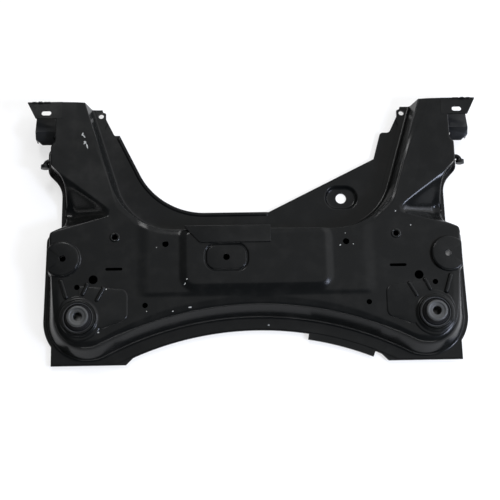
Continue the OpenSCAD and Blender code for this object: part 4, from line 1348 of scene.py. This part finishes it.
@dataclass
class Bush:
    """A rubber body bush in its housing: dark rubber and a grey core with a stepped collar."""

    side: Side
    z: Sizes = SIZES
    collar_top: float = 83
    collar_t: float = 5
    core_r: float = 13
    bore_r: float = 8.5

    @property
    def centre(self) -> tuple[float, float]:
        """Plan place of the axis."""
        return self.side.value * self.z.bush_x, self.z.bush_y

    def lathed(self, name: str, profile: list[tuple[float, float]]) -> bpy.types.Object:
        """A closed turned piece of the bush; the profile runs clockwise and ends where it starts."""
        parts = MeshParts()
        points, faces = lathe(profile, self.centre, 96)
        parts.add(points, faces[:, ::-1])
        return join(name, [parts.mesh(name)], sharp_deg=42)

    def rubber(self) -> bpy.types.Object:
        """The rubber: a bulged ring whose top falls from the collar to the sleeve, with a moulded groove."""
        top = self.collar_top - self.collar_t
        r = self.core_r
        profile = [(r, 6), (20.5, 14), (28, 6), (28, 60), (27.4, 66.5), (26.2, 69.2), (24.6, 70.6),
                   (23.4, 70.2), (22.6, 71.2), (22.4, 74), (21.6, 76.6), (20, top), (r, top), (r, 6)]
        return self.lathed(f"{self.side.name.lower()}_rubber", profile[::-1])

    def core(self) -> bpy.types.Object:
        """The core: a tube with a collar whose top face has a rounded rim and a turned step."""
        top = self.collar_top
        under = top - self.collar_t
        r, bore = self.core_r, self.bore_r
        profile = [(bore, 0), (r, 0), (r, under), (19.8, under), (20.7, under + 0.4), (21, under + 1.2),
                   (21, top - 1.6), (20.6, top - 0.6), (19.6, top), (16.6, top), (15.8, top - 0.3),
                   (15.2, top - 1.0), (14.2, top - 1.2), (10.4, top - 1.2), (9.2, top - 1.5),
                   (bore, top - 2.4), (bore, 0)]
        return self.lathed(f"{self.side.name.lower()}_core", profile[::-1])

    def build(self, rubber: bpy.types.Material, steel: bpy.types.Material) -> None:
        """Builds and dresses the rubber and the core."""
        name = self.side.name.lower()
        dress(self.rubber(), rubber, Slot.RUBBER, f"{name}_bush_rubber")
        dress(self.core(), steel, Slot.STEEL, f"{name}_bush_core")


@dataclass
class SmallParts:
    """Brackets, hooks, patch and housings: copies of their solids with rounded edges and closer forms."""

    rounding: dict[str, float] = field(default_factory=lambda: {
        "front_patch": 0.9, "left_box_bracket": 1.1, "right_box_bracket": 1.1, "left_hook": 0.8,
        "right_hook": 0.8, "left_bush_housing": 0.7, "right_bush_housing": 0.7})
    bracket_y: tuple[tuple[float, ...], tuple[float, ...]] = ((182, 212, 235), (188, 212, 246))
    bracket_hole: tuple[float, float, float] = (425, 197, 4.5)
    hole_in: float = 13.5
    hole_share: float = 0.45
    patch_x: tuple[tuple[float, ...], tuple[float, ...]] = ((-134, -90, 30), (-143, -92, 30))
    hook_swell: float = 1.8

    def reshape(self, item: bpy.types.Object, node: str) -> None:
        """Moves a copy's points: a bracket's leaves and hole, the patch's long end, a hook's thickness.

        Args:
            item: The copy.
            node: Its CAD node.
        """
        flat = np.empty(len(item.data.vertices) * 3, np.float32)
        item.data.vertices.foreach_get("co", flat)
        p = flat.reshape(-1, 3) / MM
        if "bracket" in node:
            x, y, r = self.bracket_hole
            aside = np.abs(p[:, 0]) - x
            inside = np.hypot(aside, p[:, 1] - y) < r
            moved = np.sign(p[:, 0]) * (x - self.hole_in + self.hole_share * aside)
            p[:, 0] = np.where(inside, moved, p[:, 0])
            p[:, 1] = np.interp(p[:, 1], *self.bracket_y)
        elif node == "front_patch":
            p[:, 0] = np.interp(p[:, 0], *self.patch_x)
        elif "hook" in node:
            normals = np.empty(len(item.data.vertices) * 3, np.float32)
            item.data.vertices.foreach_get("normal", normals)
            p += self.hook_swell * normals.reshape(-1, 3)
        item.data.vertices.foreach_set("co", (p * MM).ravel())
        item.data.update()

    def build(self, coat: bpy.types.Material, bracket_painted_light_coat: bpy.types.Material) -> None:
        """Builds and dresses each rounded copy; the brackets wear a greyer copy of the coat, painted light for
        the brighter light they catch.
        """
        for node, width in self.rounding.items():
            item = merged_copy(node, f"{node}_rounded")
            self.reshape(item, node)
            soften(item, width)
            # The brackets' greyer coat is painted light
            dress(item, bracket_painted_light_coat if "bracket" in node else coat, Slot.SHEET, node)


@dataclass(frozen=True)
class Lamp:
    """A soft area lamp: place, size and aim in metres, power in watts, and colour."""

    name: str
    at: tuple[float, float, float]
    size: tuple[float, float]
    power: float
    colour: str = "#ffffff"
    aim: tuple[float, float, float] = (0.0, 0.0, 0.03)

    def build(self) -> None:
        """Adds the lamp, aimed at the middle of the part."""
        data = bpy.data.lights.new(self.name, "AREA")
        data.shape = "RECTANGLE"
        data.size, data.size_y = self.size
        data.energy = self.power
        data.color = linear(self.colour)[:3]
        item = bpy.data.objects.new(self.name, data)
        item.location = self.at
        item.rotation_euler = (Vector(self.aim) - Vector(self.at)).to_track_quat("-Z", "Y").to_euler()
        bpy.context.scene.collection.objects.link(item)


@dataclass
class Studio:
    """Pale floor, soft lamps, a dim room with a bright right side, and the photograph's camera."""

    elevation: float = 74.993
    azimuth: float = 7.128
    roll: float = -6.0
    focal_px: float = 1171.0
    image_px: float = 500.0
    distance: float = 2380.0
    target: tuple[float, float, float] = (-11.5, -45.1, 36.0)
    lamps: tuple[Lamp, ...] = (
        Lamp("key_lamp", (-0.9, 2.3, 3.0), (0.8, 0.8), 42.0),
        Lamp("right_strip", (3.0, 0.3, 1.0), (2.4, 0.26), 26.0, "#e8eeff"),
        Lamp("corner_lamp", (2.35, -1.0, 2.25), (0.7, 0.7), 90.0, "#dce6ff"),
        Lamp("rear_strip", (0.2, -3.2, 0.75), (3.0, 0.26), 30.0),
        Lamp("left_strip", (-3.0, -1.2, 0.7), (2.0, 0.2), 5.0),
    )
    floor_half: float = 8.0
    floor_drop: float = 0.0003
    floor_grain_mm: float = 1000 / 9
    floor_glow: float = 0.65
    room: tuple[tuple[str, tuple[float, float], tuple[float, float]], ...] = (
        ("X", (-0.55, 0.1), (0.2, 1.0)), ("X", (0.0, 0.7), (0.0, 1.1)), ("Y", (-0.3, 0.12), (0.06, 1.0)))

    def camera(self) -> None:
        """Places the camera: it looks at the target from its elevation and azimuth, turned by its roll."""
        e, a, r = (math.radians(v) for v in (self.elevation, self.azimuth, self.roll))
        ahead = Vector((math.sin(a) * math.cos(e), math.cos(a) * math.cos(e), -math.sin(e)))
        right = Vector((math.cos(a), -math.sin(a), 0))
        up = right.cross(ahead)
        cam_x = math.cos(r) * right - math.sin(r) * up
        cam_y = math.sin(r) * right + math.cos(r) * up
        place = Vector(self.target) - self.distance * ahead
        data = bpy.data.cameras.new("camera")
        data.sensor_width = 36.0
        data.lens = data.sensor_width * self.focal_px / self.image_px
        item = bpy.data.objects.new("camera", data)
        turn = Matrix((cam_x, cam_y, -ahead)).transposed().to_4x4()
        item.matrix_world = Matrix.Translation(place * MM) @ turn
        bpy.context.scene.collection.objects.link(item)
        bpy.context.scene.camera = item

    def floor(self) -> None:
        """A wide pale floor just under the part, finely grained and partly lit from within for the eye."""
        mesh = bpy.data.meshes.new("floor")
        u = np.linspace(-self.floor_half, self.floor_half, 5)
        x, y = np.meshgrid(u, u)
        points = np.stack([x, y, np.full_like(x, -self.floor_drop)], -1).reshape(-1, 3)
        mesh.from_pydata(points.tolist(), [], grid_faces(5, 5).tolist())
        item = bpy.data.objects.new("floor", mesh)
        bpy.context.scene.collection.objects.link(item)
        material, tree, place = new_finish("pale_floor")
        shader = tree.nodes[SHADER]
        colour = blend(tree, noise(tree, place, self.floor_grain_mm), "#fbfbfb", "#ffffff")
        set_inputs(tree, shader, {"Base Color": colour, "Roughness": 0.9})
        rays = add_node(tree, "ShaderNodeLightPath").outputs
        seen = maths(tree, "MAXIMUM", rays["Is Camera Ray"], rays["Is Glossy Ray"])
        seen = maths(tree, "MAXIMUM", seen, rays["Is Transmission Ray"])
        share = maths(tree, "MULTIPLY", seen, self.floor_glow)
        white = add_node(tree, "ShaderNodeEmission", {"Color": linear("#ffffff"), "Strength": 1.0}).outputs[0]
        both = add_node(tree, "ShaderNodeMixShader", {0: share, 1: shader.outputs[0], 2: white}).outputs[0]
        set_inputs(tree, tree.nodes["Material Output"], {"Surface": both})
        mesh.materials.append(material)

    def world(self) -> None:
        """A room that is bright on the right and overhead, dim on the left and dark behind."""
        world = bpy.data.worlds.new("room")
        bpy.context.scene.world = world
        world.use_nodes = True
        tree = world.node_tree
        way = add_node(tree, "ShaderNodeTexCoord").outputs["Generated"]
        axes = add_node(tree, "ShaderNodeSeparateXYZ", {"Vector": way}).outputs
        left, right, rear = (spread(tree, axes[axis], span, levels, interpolation_type="SMOOTHSTEP")
                             for axis, span, levels in self.room)
        level = maths(tree, "MULTIPLY", maths(tree, "ADD", left, right), rear)
        set_inputs(tree, tree.nodes["Background"], {"Strength": level, "Color": linear("#ffffff")})

    def build(self) -> None:
        """Builds camera, floor, lamps and world, and sets the plain view."""
        self.camera()
        self.floor()
        self.world()
        for lamp in self.lamps:
            lamp.build()
        bpy.context.scene.view_settings.view_transform = "Standard"


UPPER_CHIPS = (
    Chip(-351.3, 201.0, 61, 4.0, 1.9, 76), Chip(-348.1, 196.6, 61, 4.2, 1.4, -54),
    Chip(-346.1, 183.4, 61, 3.6, 2.6, -60), Chip(-347.6, 180.6, 61, 1.8, 1.2, 60),
    Chip(-341.8, 175.2, 61, 6.4, 1.6, -74), Chip(169.7, -44.7, 61, 2.2, 1.5, 40),
    Chip(196.3, -42.9, 61, 1.3, 0.9, -30), Chip(180.9, -20, 61, 1.0, 0.9),
    Chip(-134.0, -166.9, 61, 3.6, 1.3, 6), Chip(-168.0, -174.5, 61, 1.4, 1.1),
    Chip(-219.8, -173.7, 61, 1.2, 1.0), Chip(-139.4, -111.2, 66, 1.8, 1.4, 50),
    Chip(-143.6, -120.4, 63, 3.0, 1.0, 60), Chip(-299.5, -128.2, 64, 1.7, 1.4),
    Chip(315.0, -4.3, 61, 1.3, 1.0), Chip(285.8, 26.0, 59, 1.6, 1.2, 45),
    Chip(23.4, -196.2, 12, 1.7, 1.6), Chip(-314.7, -214.8, 61, 1.8, 1.3, 20),
    Chip(-199.8, -43.9, 61, 1.2, 0.9),
)


def main() -> None:
    """Builds the frame's pieces in order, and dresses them."""
    logging.basicConfig(level=logging.INFO, format="%(message)s")
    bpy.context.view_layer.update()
    upper_coat = CoatedSteel("black_dip_coat_upper", chips=UPPER_CHIPS).make()
    coat = CoatedSteel("black_dip_coat").make()
    # A greyer copy of the black coat for the brackets: painted light, which stands for the brighter light that
    # they catch
    bracket_painted_light_coat = CoatedSteel("black_dip_coat_painted_light", "#202122", "#2c2c2b").make()
    rubber = MouldedRubber().make()
    collar = PlatedSteel("dull_zinc_steel", "#414242", "#2b2c2c", roughness=0.45, metallic=0.3).make()
    dark_steel = PlatedSteel("phosphated_steel", "#4a4b4d", "#2c2d2e", roughness=0.5).make()
    # Near-black and without gloss: painted shade, so the deep bores of the tubes and nuts render dark
    bore_painted_shade_steel = CoatedSteel("matt_black_painted_shade_steel", "#060606", "#0a0a0a", sheen=0.0).make()
    bright_steel = PlatedSteel("drawn_steel_tube", "#c4c5c6", "#8d8e90", roughness=0.32).make()
    dress(UpperPressing().build(), upper_coat, Slot.SHEET, "upper_shell")
    lower = LowerPressing().build()
    soften(lower, width=0.7, segments=2, angle=50)
    dress(lower, coat, Slot.SHEET, "lower_shell")
    SmallParts().build(coat, bracket_painted_light_coat)
    for side in Side:
        Bush(side).build(rubber, collar)
    kept = {
        dark_steel: ("left_bush_sleeve", "right_bush_sleeve"),
        bright_steel: ("right_arm_tube",),
        # The left arm tube, rack tubes and weld nuts take the near-black painted shade for their bores
        bore_painted_shade_steel: ("left_arm_tube", "left_rack_tube", "right_rack_tube", "front_weld_nuts",
                      "rear_weld_nuts", "middle_weld_nut"),
    }
    for steel, nodes in kept.items():
        for node in nodes:
            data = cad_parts[node].data
            data.materials.clear()
            data.materials.append(steel)
            log.info("%s: kept", node)
    Studio().build()
    bpy.context.view_layer.update()


if __name__ == "__main__":
    main()
